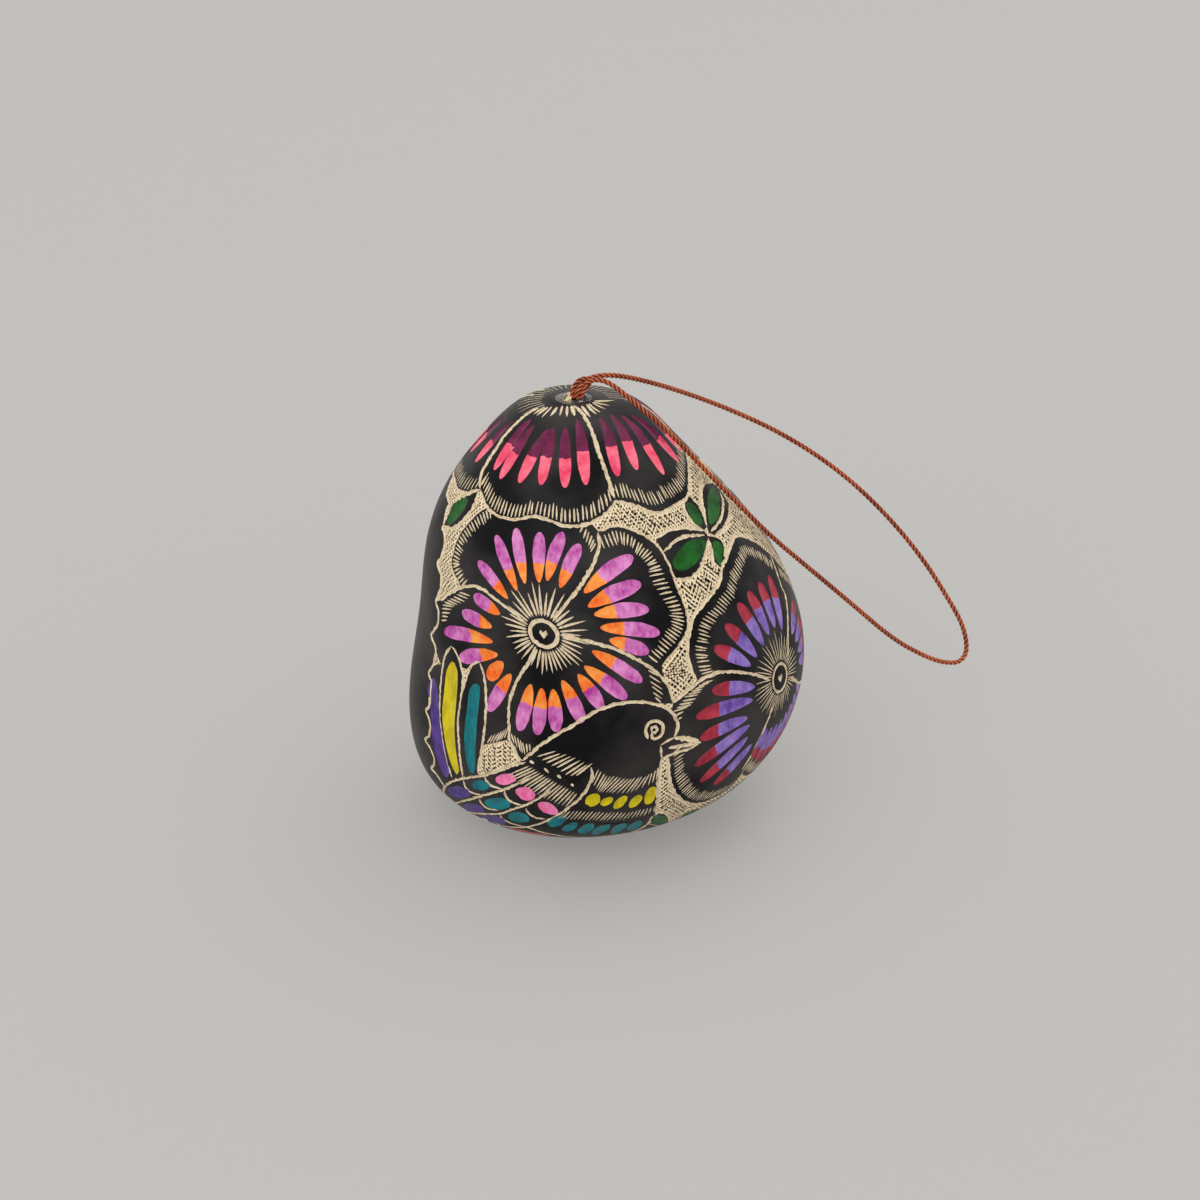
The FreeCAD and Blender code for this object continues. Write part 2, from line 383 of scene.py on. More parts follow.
def side_line(side):
    """Points (x, z) down one side of the gourd, from the edge of its stem scar to the edge of its foot."""
    start, end = scar_place[0] + side * scar_radius, rest_place[0] + side * rest_radius
    first = math.atan2(crown_height - form_middle[2], side * (start - form_middle[0]))
    last = math.atan2(-form_middle[2], side * (end - form_middle[0]))
    points = [(start, crown_height)]
    for angle in np.linspace(first, last, rays_per_side)[1:-1]:
        outward = Vector((side * math.cos(angle), 0, math.sin(angle)))
        place = shell_tree.ray_cast(Vector(form_middle) + well_outside * outward, -outward)[0]
        points.append((place.x, place.z))
    return np.array(points + [(end, 0.0)])


def eased(values):
    """Values on even steps with the small facets smoothed out of them, and both ends kept."""
    window = np.hanning(2 * ease_steps + 3)[1:-1]
    padded = np.pad(values, ease_steps, mode="reflect", reflect_type="odd")
    return np.convolve(padded, window / window.sum(), "valid")


# %% The gourd's profile
left, right = side_line(-1), side_line(1)
left_x = np.interp(right[:, 1], left[::-1, 1], left[::-1, 0])
girths, middles = (right[:, 0] - left_x) / 2, (right[:, 0] + left_x) / 2
down = np.append(0, np.cumsum(np.hypot(np.diff(girths), np.diff(right[:, 1]))))
marks = np.linspace(0, down[-1], round(down[-1] / fine_step) + 1)
scar_width = scar_radius - hole_radius
scar_marks = np.arange(0, scar_width - fine_step / 2, fine_step)
scar_share = scar_marks / scar_width
form_t = np.append(scar_marks, marks + scar_width)  # mm down the side from the hole's edge
form_r = np.append(hole_radius + scar_marks, eased(np.interp(marks, down, girths)))
form_x = np.append(0 * scar_marks + scar_place[0], eased(np.interp(marks, down, middles)))
form_y = np.append((1 - scar_share) * hole_place[1], 0 * marks)
form_z = np.append(0 * scar_marks + crown_height, eased(np.interp(marks, down, right[:, 1])))
form_map = np.append(0, np.cumsum(np.diff(form_t) * 2 / (form_r[1:] + form_r[:-1])))
form_slopes = [np.gradient(values, form_t) for values in (form_r, form_x, form_y, form_z)]
print("profile", round(form_t[-1], 1), "mm long, widest", round(form_r.max(), 2), "mm in radius")

# %% [markdown]
# ### A flat map of a round thing
# The map is a disc with the hole at its middle. A place on it is one complex number: its angle is the
# bearing round the gourd, and its distance grows so that small shapes keep their angles. Then a petal drawn
# on the map is still that petal on the gourd, and a distance in mm is that distance divided by the map's
# scale there.


# %% Between the map and the gourd
def map_place(down_side, bearing):
    """The map's place for a distance down the side in mm and a bearing, 0 in front and positive to +X."""
    return -1j * np.exp(np.interp(down_side, form_t, form_map) + 1j * bearing)


def down_of(place):
    """How far down the side a place on the map is, in mm."""
    return np.interp(np.log(np.abs(place)), form_map, form_t)


def down_at(height):
    """How far down the side a height over the foot is, in mm."""
    return np.interp(-height, -form_z[len(scar_marks):], form_t[len(scar_marks):])


def bearing_of(place):
    return np.angle(1j * place)


def mirrored(places, bearing):
    """Places on the map mirrored over the meridian at a bearing in degrees."""
    return -np.exp(2j * math.radians(bearing)) * np.conj(places)


def map_scale(place):
    """How many mm on the gourd one unit of the map is, at a place."""
    return np.interp(down_of(place), form_t, form_r) / np.abs(place)


def on_gourd(place, depth=0.0):
    """Points on the gourd in mm, below the skin where depth is negative, and the skin's normals there."""
    down_side, bearing = down_of(place), bearing_of(place)
    r, x, y, z = (np.interp(down_side, form_t, values) for values in (form_r, form_x, form_y, form_z))
    dr, dx, dy, dz = (np.interp(down_side, form_t, values) for values in form_slopes)
    sin, cos = np.sin(bearing), np.cos(bearing)
    along = np.stack([dx + dr * sin, dy - dr * cos, dz], -1)
    around = np.stack([cos, sin, 0 * sin], -1)
    normal = np.cross(along, around)
    normal /= np.linalg.norm(normal, axis=-1)[..., None]
    points = np.stack([x + r * sin, y - r * cos, z], -1)
    return points + normal * np.asarray(depth)[..., None], normal


print("the front at half its height:", np.round(on_gourd(map_place(down_at(crown_height / 2), 0))[0], 1))

# %% From pixels of the photograph to the map
seen_middle = (600, 620)  # a pixel well inside the gourd
nudge_share, most_nudges = 0.003, 120
flat_margin = 0.01  # mm


def seen(pixel):
    """The map's place under a pixel of the photograph. One just past the outline is drawn in to it."""
    for nudge in range(most_nudges):
        u, v = (m + (p - m) * (1 - nudge * nudge_share) for p, m in zip(pixel, seen_middle))
        ray = camera_turn @ Vector((u - photo_size / 2, photo_size / 2 - v, -focal_pixels))
        hit = shell_tree.ray_cast(camera.location / mm, ray)[0]
        if hit and hit.z < crown_height - flat_margin:
            down_side = down_at(hit.z)
            x = np.interp(down_side, form_t, form_x)
            return complex(map_place(down_side, math.atan2(hit.x - x, -hit.y)))
    raise ValueError(f"{pixel} isn't on the gourd")


def traced(pixels):
    return np.array([seen(pixel) for pixel in pixels])


def placed(*spots):
    """Map places for hidden spots, each a bearing in degrees and a height in mm."""
    return np.array([map_place(down_at(height), math.radians(bearing)) for bearing, height in spots])


middle_eye = seen((543.5, 634))
print("the middle flower's eye:", np.round(on_gourd(middle_eye)[0], 1))

# %% [markdown]
# ### The burin's marks
# There are four: a long cut with a groove in it, a short stroke that is pointed at both ends, a shallow
# scraped area that is dyed, and an area that is left as skin. Each adds points with a depth, and faces with
# a colour and a rank, and where faces lie over each other the higher rank shows. A seeded random keeps the
# hand's unevenness.

# %% Colours and what lies over what
colours = ["black_skin", "pale_wood", "orchid", "orange", "plum", "hot_pink", "crimson", "violet",
           "leaf_green", "tail_purple", "olive_yellow", "teal", "soft_pink", "coral", "hatched_ground"]
hole_mark, outside_rank, ground_rank, skin_rank, island_rank, stain_rank, cut_rank = range(-1, 6)
thinnest = 0.01  # mm: a thinner sliver of a face is left out
hand = random.Random(7)
print(len(colours), "colours")


# %% What a drawing holds
class Drawing:
    """All that is drawn on the map: points with depths in mm, and faces with a colour and a rank."""

    def __init__(self):
        self.places, self.depths, self.faces = [], [], []
        self.skin_areas = []

    def point(self, place, depth=0.0):
        self.places.append(complex(place))
        self.depths.append(float(depth))
        return len(self.places) - 1

    def face(self, corners, colour, rank):
        corners = [c for c, following in zip(corners, corners[1:] + corners[:1]) if c != following]
        if len(corners) < 3:
            return
        spots = np.array([self.places[c] for c in corners])
        area = float((np.conj(spots) * np.roll(spots, -1)).imag.sum())
        longest = float(np.abs(np.roll(spots, -1) - spots).max())
        if abs(area) / longest * float(map_scale(spots[0])) > thinnest:
            self.faces.append((corners if area > 0 else corners[::-1], colour, rank))

    def mark(self):
        return len(self.places), len(self.faces), len(self.skin_areas)

    def mirror(self, mark, bearing):
        """Draws all since mark once more, mirrored over the meridian at bearing, in degrees."""
        first_point, first_face, first_area = mark
        shift = len(self.places) - first_point
        for place, depth in list(zip(self.places, self.depths))[first_point:]:
            self.point(mirrored(place, bearing), depth)
        for corners, colour, rank in self.faces[first_face:]:
            self.faces.append(([c + shift for c in reversed(corners)], colour, rank))
        for area in self.skin_areas[first_area:]:
            self.skin_areas.append(mirrored(area, bearing))


drawing = Drawing()
print("a new drawing of", len(drawing.places), "points")


# %% Lines on the map
def flowing(places, spacing=0.42, closed=False):
    """A smooth line through map places, with a point about every spacing mm."""
    places = list(places)
    if closed:
        ring = [places[-1]] + places + places[:2]
    else:
        ring = [2 * places[0] - places[1]] + places + [2 * places[-1] - places[-2]]
    line = []
    for a, b, c, d in zip(ring, ring[1:], ring[2:], ring[3:]):
        pieces = max(1, round(abs(c - b) * float(map_scale(b)) / spacing))
        for s in np.arange(pieces) / pieces:
            line.append(b + ((c - a) * s + (2 * a - 5 * b + 4 * c - d) * s ** 2
                             + (3 * b - a - 3 * c + d) * s ** 3) / 2)
    return np.array(line if closed else line + [places[-1]])


def lengths(places):
    """The distance in mm from the line's start to each of its points."""
    middles = (places[1:] + places[:-1]) / 2
    return np.append(0, np.cumsum(np.abs(np.diff(places)) * map_scale(middles)))


def evenly(places, pitch):
    """Points a pitch of mm apart along a line."""
    along = lengths(places)
    marks = np.linspace(0, along[-1], max(2, round(along[-1] / pitch) + 1))
    return np.interp(marks, along, places.real) + 1j * np.interp(marks, along, places.imag)


hole_edge = map_place(0, np.linspace(0, 2 * math.pi, 60))
print("the hole's edge is", round(float(lengths(hole_edge)[-1]), 1), "mm round")

# %% A long cut with a groove
cut_width, cut_depth, cut_taper, cut_ragged = 0.46, 0.27, 1.2, 0.26
cut_start, narrowest = 0.02, 0.4  # mm from its end at which a cut starts, and the least share of its width


def cut_line(places, width=cut_width, taper=(cut_taper, cut_taper), ragged=cut_ragged):
    """A groove along a line. taper is in how many mm it gets wide from either end, 0 for a blunt end."""
    along = lengths(places)
    run = np.gradient(places)
    run /= np.abs(run)
    from_start, from_end = (np.minimum(1, (way + cut_start) / max(reach, 0.01))
                            for way, reach in zip((along, along[-1] - along), taper))
    share = np.sqrt(from_start * from_end)
    scale = 1 / map_scale(places)
    rows = []
    for i, place in enumerate(places):
        side = 1j * run[i] * scale[i] * width / 2 * share[i]
        edges = [side * max(narrowest, hand.gauss(1, ragged)) for _ in range(2)]
        rows.append((drawing.point(place + edges[0]), drawing.point(place, -cut_depth * share[i]),
                     drawing.point(place - edges[1])))
    for (left_a, mid_a, right_a), (left_b, mid_b, right_b) in zip(rows, rows[1:]):
        for corners in ([mid_a, mid_b, left_b], [mid_a, left_b, left_a],
                        [right_a, right_b, mid_b], [right_a, mid_b, mid_a]):
            drawing.face(corners, "pale_wood", cut_rank)


print("a long cut is", cut_width, "mm wide and", cut_depth, "mm deep")

# %% A short stroke
stroke_width, stroke_depth = 0.34, 0.2
stroke_shares, stroke_blunt = (0.12, 0.5, 0.86), 0.6


def cut_stroke(start, end, width=stroke_width, widest=0.45, bend=0.0):
    """A stroke pointed at both ends, widest at a share of its length and bent sideways by another."""
    axis = end - start
    scale = 1 / float(map_scale(start))
    power = math.log(0.5) / math.log(widest)
    width *= hand.uniform(0.85, 1.15)
    left, right = [], []
    for share in stroke_shares:
        fullness = math.sin(math.pi * share ** power) ** stroke_blunt
        place = start + axis * share + 4j * axis * bend * share * (1 - share)
        half = 1j * axis / abs(axis) * scale * width / 2 * fullness
        left.append(drawing.point(place + half * hand.uniform(0.88, 1.12)))
        right.append(drawing.point(place - half * hand.uniform(0.88, 1.12)))
        drawing.point(place, -stroke_depth * min(1, width / stroke_width) * fullness)
    corners = [drawing.point(start)] + right + [drawing.point(end)] + left[::-1]
    drawing.face(corners, "pale_wood", cut_rank)


print("a short stroke is", stroke_width, "mm wide and", stroke_depth, "mm deep")

# %% Strokes in a row and round a middle
comb_easing = 6  # how many times the directions of a comb are smoothed


def spread(values, count):
    """Values spread evenly over a count of places."""
    return np.interp(np.linspace(0, 1, count), np.linspace(0, 1, len(values)), values)


def comb(line, inset, length, pitch, width, side=1, centre=None, pull=0.0):
    """Strokes along a line, on its left for side 1. inset and length are in mm, values spread along the
    line. pull turns the strokes from square to the line, at 0, to pointing at the centre, at 1. pitch is
    the distance across the strokes, so where they lean to the line there are fewer."""
    places = evenly(line, pitch)
    run = np.gradient(places)
    run /= np.abs(run)
    for _ in range(comb_easing):
        run[1:-1] = (run[:-2] + 2 * run[1:-1] + run[2:]) / 4
    directions = side * 1j * run / np.abs(run)
    if centre is not None:
        directions = directions * (1 - pull) + (centre - places) / np.abs(centre - places) * pull
    directions /= np.abs(directions)
    crosswise = np.abs((directions * np.conj(run)).imag)
    apart = np.append(0, np.cumsum((crosswise[1:] + crosswise[:-1]) / 2 * pitch))
    marks = np.linspace(0, apart[-1], max(2, round(apart[-1] / pitch) + 1))
    insets, reaches = spread(inset, len(places)), spread(length, len(places))
    for mark in marks:
        place, inward = (complex(np.interp(mark, apart, v.real), np.interp(mark, apart, v.imag))
                         for v in (places, directions))
        near, reach = np.interp(mark, apart, insets), np.interp(mark, apart, reaches)
        inward *= np.exp(1j * math.radians(hand.uniform(-3, 3))) / abs(inward) / map_scale(place)
        cut_stroke(place + inward * near * hand.uniform(0.9, 1.15),
                   place + inward * (near + reach * hand.uniform(0.85, 1.12)), width,
                   widest=0.42, bend=hand.uniform(-0.02, 0.02))


def rays(centre, inner, outer, count, width, widest):
    """Strokes all round a centre, between two distances from it in mm."""
    scale = 1 / float(map_scale(centre))
    for i in range(count):
        angle = math.radians(360 * (i + hand.uniform(-0.15, 0.15)) / count)
        outward = np.exp(1j * angle) * scale
        cut_stroke(centre + outward * inner * hand.uniform(0.95, 1.05),
                   centre + outward * outer * hand.uniform(0.86, 1.1), width, widest)


print("1 to 3 mm spread over five strokes:", spread((1, 3), 5))

# %% Dyed areas
stain_depth, stain_rim = 0.12, 0.62


def stain_area(outline, colour):
    """A scraped and dyed area inside a closed outline, with its floor a little below the skin."""
    middle = outline.mean()
    drawing.face([drawing.point(place) for place in outline], colour, stain_rank)
    for place in outline[::2]:
        drawing.point(middle + (place - middle) * stain_rim, -stain_depth)
    drawing.point(middle, -stain_depth)


print("dyed areas lie", stain_depth, "mm deep")

# %% Petals of two colours
petal_widest = 0.6  # the share of its length at which a petal is widest
inner_shares = (0.05, 0.16, 0.36, 0.66, 1)  # where a petal has points along its inner colour
outer_shares = (0.25, 0.5, 0.7, 0.84, 0.93, 0.98)  # and along its outer one


def petal_fullness(shares):
    """How wide a petal is along its length: narrow at its inner end and round at its outer one."""
    rising = np.sin(np.pi / 2 * np.clip(shares / petal_widest, 0, 1)) ** 0.55
    rounding = np.clip((shares - petal_widest) / (1 - petal_widest), 0, 1)
    return np.where(shares < petal_widest, rising, np.sqrt(1 - rounding ** 2.4))


def petal(inner, outer, width, inner_colour, outer_colour, split):
    """A long petal dyed in two colours that meet in an uneven line at a share of its length."""
    axis = outer - inner
    across = 1j * axis / abs(axis) / float(map_scale(inner + axis / 2)) * width / 2
    shares = np.array([split * s for s in inner_shares] + [split + (1 - split) * s for s in outer_shares])
    fullness = petal_fullness(shares)
    left, right = ([drawing.point(inner + axis * s + edge * f * hand.uniform(0.94, 1.06))
                    for s, f in zip(shares, fullness)] for edge in (across, -across))
    for s, f in zip(shares[1:-1], fullness[1:-1]):
        for side in (-stain_rim, 0, stain_rim):
            drawing.point(inner + axis * s + across * f * side, -stain_depth)
    meet = len(inner_shares) - 1
    border = [drawing.point(inner + axis * (split + hand.uniform(-0.02, 0.02))
                            + across * fullness[meet] * side, -stain_depth) for side in (-0.5, 0, 0.5)]
    start, end = drawing.point(inner), drawing.point(outer)
    drawing.face([start] + right[:meet + 1] + border + left[:meet + 1][::-1], inner_colour, stain_rank)
    drawing.face(border[::-1] + right[meet:] + [end] + left[meet:][::-1], outer_colour, stain_rank)


print("a petal's shares of its width:", np.round(petal_fullness(np.array((0.2, 0.6, 0.9))), 2))


# %% Areas of skin, and ovals
def skin_area(outline):
    """An area that is left as black skin in the pale ground."""
    drawing.face([drawing.point(place) for place in outline], "black_skin", skin_rank)
    drawing.skin_areas.append(np.array(outline))


def ellipse(centre, size, tilt, count=14, ragged=0.08):
    """The map places of an uneven oval, given in pixels and degrees, tilt rising to the right."""
    turn = math.radians(tilt)
    spots = []
    for angle in np.arange(count) / count * 2 * math.pi:
        reach = hand.uniform(1 - ragged, 1 + ragged)
        x, y = size[0] / 2 * math.cos(angle) * reach, size[1] / 2 * math.sin(angle) * reach
        spots.append((centre[0] + x * math.cos(turn) - y * math.sin(turn),
                      centre[1] - x * math.sin(turn) - y * math.cos(turn)))
    return traced(spots)


print("areas of skin so far:", len(drawing.skin_areas))

# %% [markdown]
# ### The drawing
# Pixels are read off the photograph and followed as they are there. The side that the photograph
# doesn't show is the seen side mirrored, as carvers repeat a pattern round a gourd, with a plain black
# panel between.

# %% The top flower's places, with its lobes round the stem
twin_bearing, crown_twin_bearing = 60.0, 55.0  # the meridians over which the field and the top flower repeat
lobe_edges = {
    "left": placed((-125, 58.4), (-121, 56.2), (-113, 54.3), (-103, 53.6)).tolist() + traced(
        ((453.8, 471), (455.2, 483), (458, 490), (466.5, 492.8), (472, 491.4), (478.4, 489.3))).tolist(),
    "middle": traced(((480, 489), (486, 505), (496, 515), (510.6, 519.4), (523, 518.5), (535, 516.3),
                      (549.4, 520.4), (563.7, 525.5), (580, 525.5), (596, 520.4), (610.6, 509),
                      (614.7, 500))).tolist(),
    "right": traced(((615.8, 500), (625, 503), (638, 506.5), (647.4, 510.6), (655.4, 512.3), (664, 511.8),
                     (672, 506.9), (684, 500), (688.7, 492), (689, 480.6), (688, 462), (686, 452))).tolist()
    + placed((93, 58.4)).tolist(),
}
lobe_dividers = (
    traced(((538.2, 408.2), (514.6, 424.8), (504.5, 435.7), (490, 458), (481, 474.5), (480, 489))),
    traced(((573.8, 404), (581.3, 411.5), (586.3, 419.8), (592, 431.4), (597.9, 449.7), (608.6, 480.6),
            (614.7, 498))),
    placed((-112, 65.0), (-120, 63.5), (-125, 61.0), (-125, 58.4)),
)
crown_petals = (  # inner end and outer end
    ((531, 419), (494, 470)), ((534, 425), (500, 479)), ((549, 429), (519, 483)),
    ((553.5, 427.5), (541, 485)), ((565, 427.5), (565, 488)), ((577, 420), (586, 485)),
    ((506, 417), (470, 452)), ((513, 421), (475, 462)),
)
right_lobe_petals = (
    ((600, 418), (618, 476.5)), ((611, 415), (637, 470)), ((621, 415), (664, 474.5)),
    ((631, 415), (679, 462)),
)
crown_strokes = (
    ((545.7, 406.5), (532.8, 414.8)), ((549, 406.5), (536, 416)), ((552.7, 406), (541, 418)),
    ((557.7, 406.5), (549.8, 416.5)), ((562.7, 405.3), (559.5, 416)), ((567.4, 405.7), (566.6, 417.3)),
    ((571.8, 405.3), (574.7, 416)), ((581.7, 405.3), (590.8, 417.7)), ((586.3, 403.2), (596.6, 414.4)),
    ((588.4, 402), (600.8, 412.5)), ((591.7, 400), (605.8, 409)), ((592.9, 397), (609.5, 405.3)),
    ((593.7, 395.8), (614.5, 400)),
)
print(len(crown_petals) + len(right_lobe_petals), "petals of the top flower are seen")

# %% Drawing the top flower
petal_width, crown_petal_width = 2.15, 1.8
divider_cut = (0.6, (0.5, 1.2))  # a divider's width and tapers in mm
lobe_insets = {"left": (0.4, 0.4), "middle": (0.6, 0.3, 0.25, 0.5, 0.6), "right": (0.6, 1.1, 1.1, 0.7, 0.5)}
lobe_strokes = {"left": (0.85, 0.24), "middle": (0.64, 0.28)}  # pitch and width in mm
hidden_bearings = np.arange(102, 300, 8.4)  # degrees, of the strokes at the stem on the hidden side


def crown_petal(inner, outer):
    petal(inner, outer, crown_petal_width, "plum", "hot_pink", 0.5)


crown_mark = drawing.mark()
for name in ("left", "middle"):
    edge = flowing(lobe_edges[name])
    cut_line(edge)
    comb(edge, lobe_insets[name], (2.1, 2.2), *lobe_strokes[name], centre=0, pull=1)
for line in (lobe_dividers[0], lobe_dividers[2]):
    cut_line(flowing(line), *divider_cut)
for ends in crown_petals:
    crown_petal(*traced(ends))
for bearing, inner_z, outer_z in ((-101, 63.0, 56.6), (-114, 63.2, 57.0)):
    crown_petal(*placed((bearing + 3, inner_z), (bearing, outer_z)))
drawing.mirror(crown_mark, crown_twin_bearing)
for line in (lobe_dividers[1], mirrored(lobe_dividers[1][2:], crown_twin_bearing)):
    cut_line(flowing(line), *divider_cut)

edge = flowing(lobe_edges["right"])
cut_line(edge)
comb(edge, lobe_insets["right"], (2.2, 2.0), 0.58, 0.23, centre=0, pull=1)
for ends in right_lobe_petals:
    crown_petal(*traced(ends))
crown_petal(*placed((80, 63.5), (82, 58.0)))
for start, end in crown_strokes:
    cut_stroke(seen(start), seen(end), hand.uniform(0.38, 0.6), 0.35)
for bearing in hidden_bearings:
    start, end = placed((bearing, hand.uniform(65.3, 65.4)),
                        (bearing + hand.uniform(-1, 1), hand.uniform(63.9, 64.3)))
    cut_stroke(start, end, 0.17, 0.35)

twin_source = lobe_edges["left"] + lobe_edges["middle"]
twin_edge = mirrored(flowing(twin_source), crown_twin_bearing)
skin_area(np.concatenate([flowing(twin_source + lobe_edges["right"]), twin_edge[::-1]]))
print("top flower:", len(drawing.places), "points")

# %% The middle flower's places
middle_petals = (
    ((508, 599), (478, 561)), ((517, 591), (496, 535)), ((525, 584), (516, 528)), ((539, 583), (540, 532)),
    ((547, 581), (563, 532)), ((560, 588), (580, 544)), ((584, 593), (633, 556)), ((588, 607), (641, 583)),
    ((594, 615), (649, 609)), ((600, 628), (660, 633)), ((609, 640), (649, 652)), ((592, 651), (642, 682)),
    ((584, 666), (626.5, 699)), ((578, 674), (602, 709)), ((562, 680), (582, 723)), ((553, 689), (556, 732)),
    ((542, 688), (537, 735)), ((531, 684), (519, 731)), ((511, 674), (488, 711)), ((498, 654.5), (459, 659)),
    ((493, 642), (444, 632)), ((492, 627), (462, 613)), ((500, 614), (473.5, 596)),
)
middle_dividers = (
    ((553, 619), (572, 597), (583, 582), (594, 563), (599, 546), (598, 532)),
    ((527, 625), (514, 613), (498, 601), (478, 587), (460, 588), (441, 601)),
    ((560, 635), (595, 643), (620, 651), (651, 668), (667, 684), (673.5, 702)),
    ((537, 649), (529, 662), (516, 682), (509, 706), (509, 731), (510, 741), (516, 755.5), (522.4, 760.6)),
)
upper_left_edge = ((460, 588), (452, 570), (451, 560), (453, 551.7), (455.2, 543.3), (459.5, 534),
                   (466.5, 524.3), (473.5, 516.6), (481.9, 509.6), (488.9, 506))
right_edge = ((598, 531), (603.7, 529.9), (609.5, 526.7), (618, 525.8), (626.7, 527.6), (635.3, 531),
              (644, 535), (649.7, 539.6), (655.4, 543.6), (661.1, 550.5), (669.3, 565), (674.6, 581),
              (680.9, 595.4), (685.4, 607), (688, 620.4), (686.3, 632.9), (680.9, 642.7), (672.9, 653.4),
              (662.1, 665.9))
lower_left_edge = ((483, 746), (484.7, 745.3), (496, 744), (508, 740))
middle_outline = upper_left_edge + (
    (496, 515), (510.6, 519.4), (535, 516.3), (549.4, 520.4), (563.7, 525.5), (580, 525.5), (592, 524)
) + right_edge + (
    (667, 684), (673.5, 702), (653, 703.5), (636.7, 701.8), (604, 707.6), (573.5, 724.9), (542.9, 743.3),
    (522.4, 760.6), (510, 741), (483, 746), (483.5, 736.4), (485.8, 711.9), (485.8, 687.4), (483.5, 673.6),
    (479.6, 662), (470.4, 667.5), (461.3, 667.5), (456.7, 653.7), (451.3, 646), (445.9, 653.7), (441, 664),
    (436, 650.6), (434.5, 644.5), (431.5, 635), (436.7, 627), (438.3, 621.5), (438.8, 610.6), (436, 602),
    (441, 600))
middle_stroke_rows = (  # how many strokes, their width in mm, and key strokes as x and y of both ends
    (11, 0.26,
     ((459, 592, 470.7, 596.2), (452.4, 597.8, 464, 602.8), (445, 600.3, 455.8, 605.3),
      (441.7, 606.1, 453.3, 607.4), (441.7, 614.4, 449.1, 614.8), (441.5, 620, 447, 620.5))),
    (7, 0.22, ((487, 743, 492, 735), (496, 742, 502, 731), (504, 738, 508, 727))),
    (7, 0.26, ((511.5, 733, 514, 744), (517, 737, 520, 752), (523, 742, 525, 755), (529.5, 744, 530.5, 751))),
    (6, 0.24, ((648, 670, 658, 676), (650, 680, 663, 689), (652, 690, 663, 698), (655, 697, 661, 703))),
    (6, 0.26,
     ((583, 526, 580, 533), (588, 530, 585, 541), (592.4, 536, 588.7, 546.6), (595.5, 543, 590.5, 552))),
)
print(len(middle_petals) + 1, "petals in the middle flower")


# %% A row of strokes, and a flower's eye
def stroke_row(count, width, keys):
    """Strokes between key strokes, evenly spread along them, in pixels."""
    keys = np.array(keys, float)
    along = np.append(0, np.cumsum(np.hypot(*np.diff(keys[:, :2], axis=0).T)))
    for mark in np.linspace(0, along[-1], count):
        x0, y0, x1, y1 = (np.interp(mark, along, keys[:, k]) + hand.uniform(-0.4, 0.4) for k in range(4))
        cut_stroke(seen((x0, y0)), seen((x1, y1)), width, 0.4)


heart_points = np.array([-1, 0.1 + 0.85j, 0.75 + 0.6j, 0.3, 0.8 - 0.55j, 0.1 - 0.85j])  # up and sideways
heart_size = 0.72  # mm from its middle to its point
slim_petals, slimmer_by = 6, 0.3  # how many of the first petals are slimmer, and by how many mm


def flower_eye(eye, ring_size, ring_width):
    """A flower's eye: an oval ring cut round a disc of skin, with a small heart in its middle."""
    up = -eye / abs(eye) / float(map_scale(eye))  # one mm up the gourd, on the map
    turn = np.linspace(0, 2 * math.pi, 29)
    cut_line(eye + up * (ring_size[1] * np.cos(turn) + 1j * ring_size[0] * np.sin(turn)),
             ring_width, (0, 0), 0.14)
    heart = eye + up * heart_size * heart_points
    drawing.face([drawing.point(place) for place in heart], "pale_wood", cut_rank)
    drawing.point(heart.mean(), -stroke_depth / 2)


print("the heart is", heart_size, "mm from its middle to its point")

# %% Drawing the middle flower
field_mark = drawing.mark()
skin_area(flowing(traced(middle_outline), 1.0, closed=True))
for i, ends in enumerate(middle_petals):
    petal(*traced(ends), petal_width - (slimmer_by if i < slim_petals else 0), "orange", "orchid", 0.4)
petal(*traced(((503, 662), (488, 679))), petal_width, "orange", "orange", 0.5)
for line in middle_dividers:
    cut_line(flowing(traced(line)))
for edge in (upper_left_edge, right_edge, lower_left_edge):
    cut_line(flowing(traced(edge)), 0.34)
comb(flowing(traced(upper_left_edge)), (0.3, 0.35), (1.8, 1.9), 0.68, 0.30, side=-1)
comb(flowing(traced(right_edge)), (0.5, 0.8, 1.4, 1.4, 0.8, 0.5, 0.6, 0.8), (2.1, 1.9, 2.2, 2.0, 1.7),
     0.66, 0.27, side=-1)
for count, width, keys in middle_stroke_rows:
    stroke_row(count, width, keys)
flower_eye(middle_eye, (2.05, 1.85), 0.6)
rays(middle_eye, inner=2.5, outer=6.2, count=40, width=0.36, widest=0.28)
print("middle flower:", len(drawing.places), "points")

# %% The bird's head and body
bird_outline = ((522.4, 760.6), (530.6, 753.5), (542.9, 743.3), (559.2, 733), (573.5, 724.9), (589.8, 714.7),
                (604, 707.6), (620.4, 703.5), (636.7, 701.8), (653, 703.5), (665.3, 707.6), (673.5, 714.7),
                (677.6, 723.5), (676.8, 731), (674, 738))
beak_lines = (  # width in mm and pixels
    (0.78, ((674, 738), (683, 738.4), (693, 740), (701, 742.8))),
    (0.62, ((668.6, 748.2), (679, 746), (690, 744.8), (699, 743.2))),
    (0.4, ((699, 743.6), (689.8, 748.6), (675.5, 753), (662.6, 758))),
    (0.44, ((675, 737.6), (668.9, 740), (660.6, 745.2))),
    (0.44, ((660.6, 745.2), (661, 751.4), (662, 759.3))),
)
bird_eye_lines = (
    ((651.6, 732.6), (652.4, 738), (657.5, 738.2), (662.5, 733.1), (662.5, 724.7), (656.5, 721.2),
     (649.1, 723.2), (645.6, 730.6), (647.9, 738.7)),
    ((651.4, 731.6), (651.6, 727.6), (655.4, 726.4), (657.4, 729.6), (655, 733), (651.4, 731.6)),
)
throat_line = ((661.8, 757.6), (660.8, 763.7), (659.2, 775.9), (657.5, 794.3), (657, 810.6), (656, 814.7))
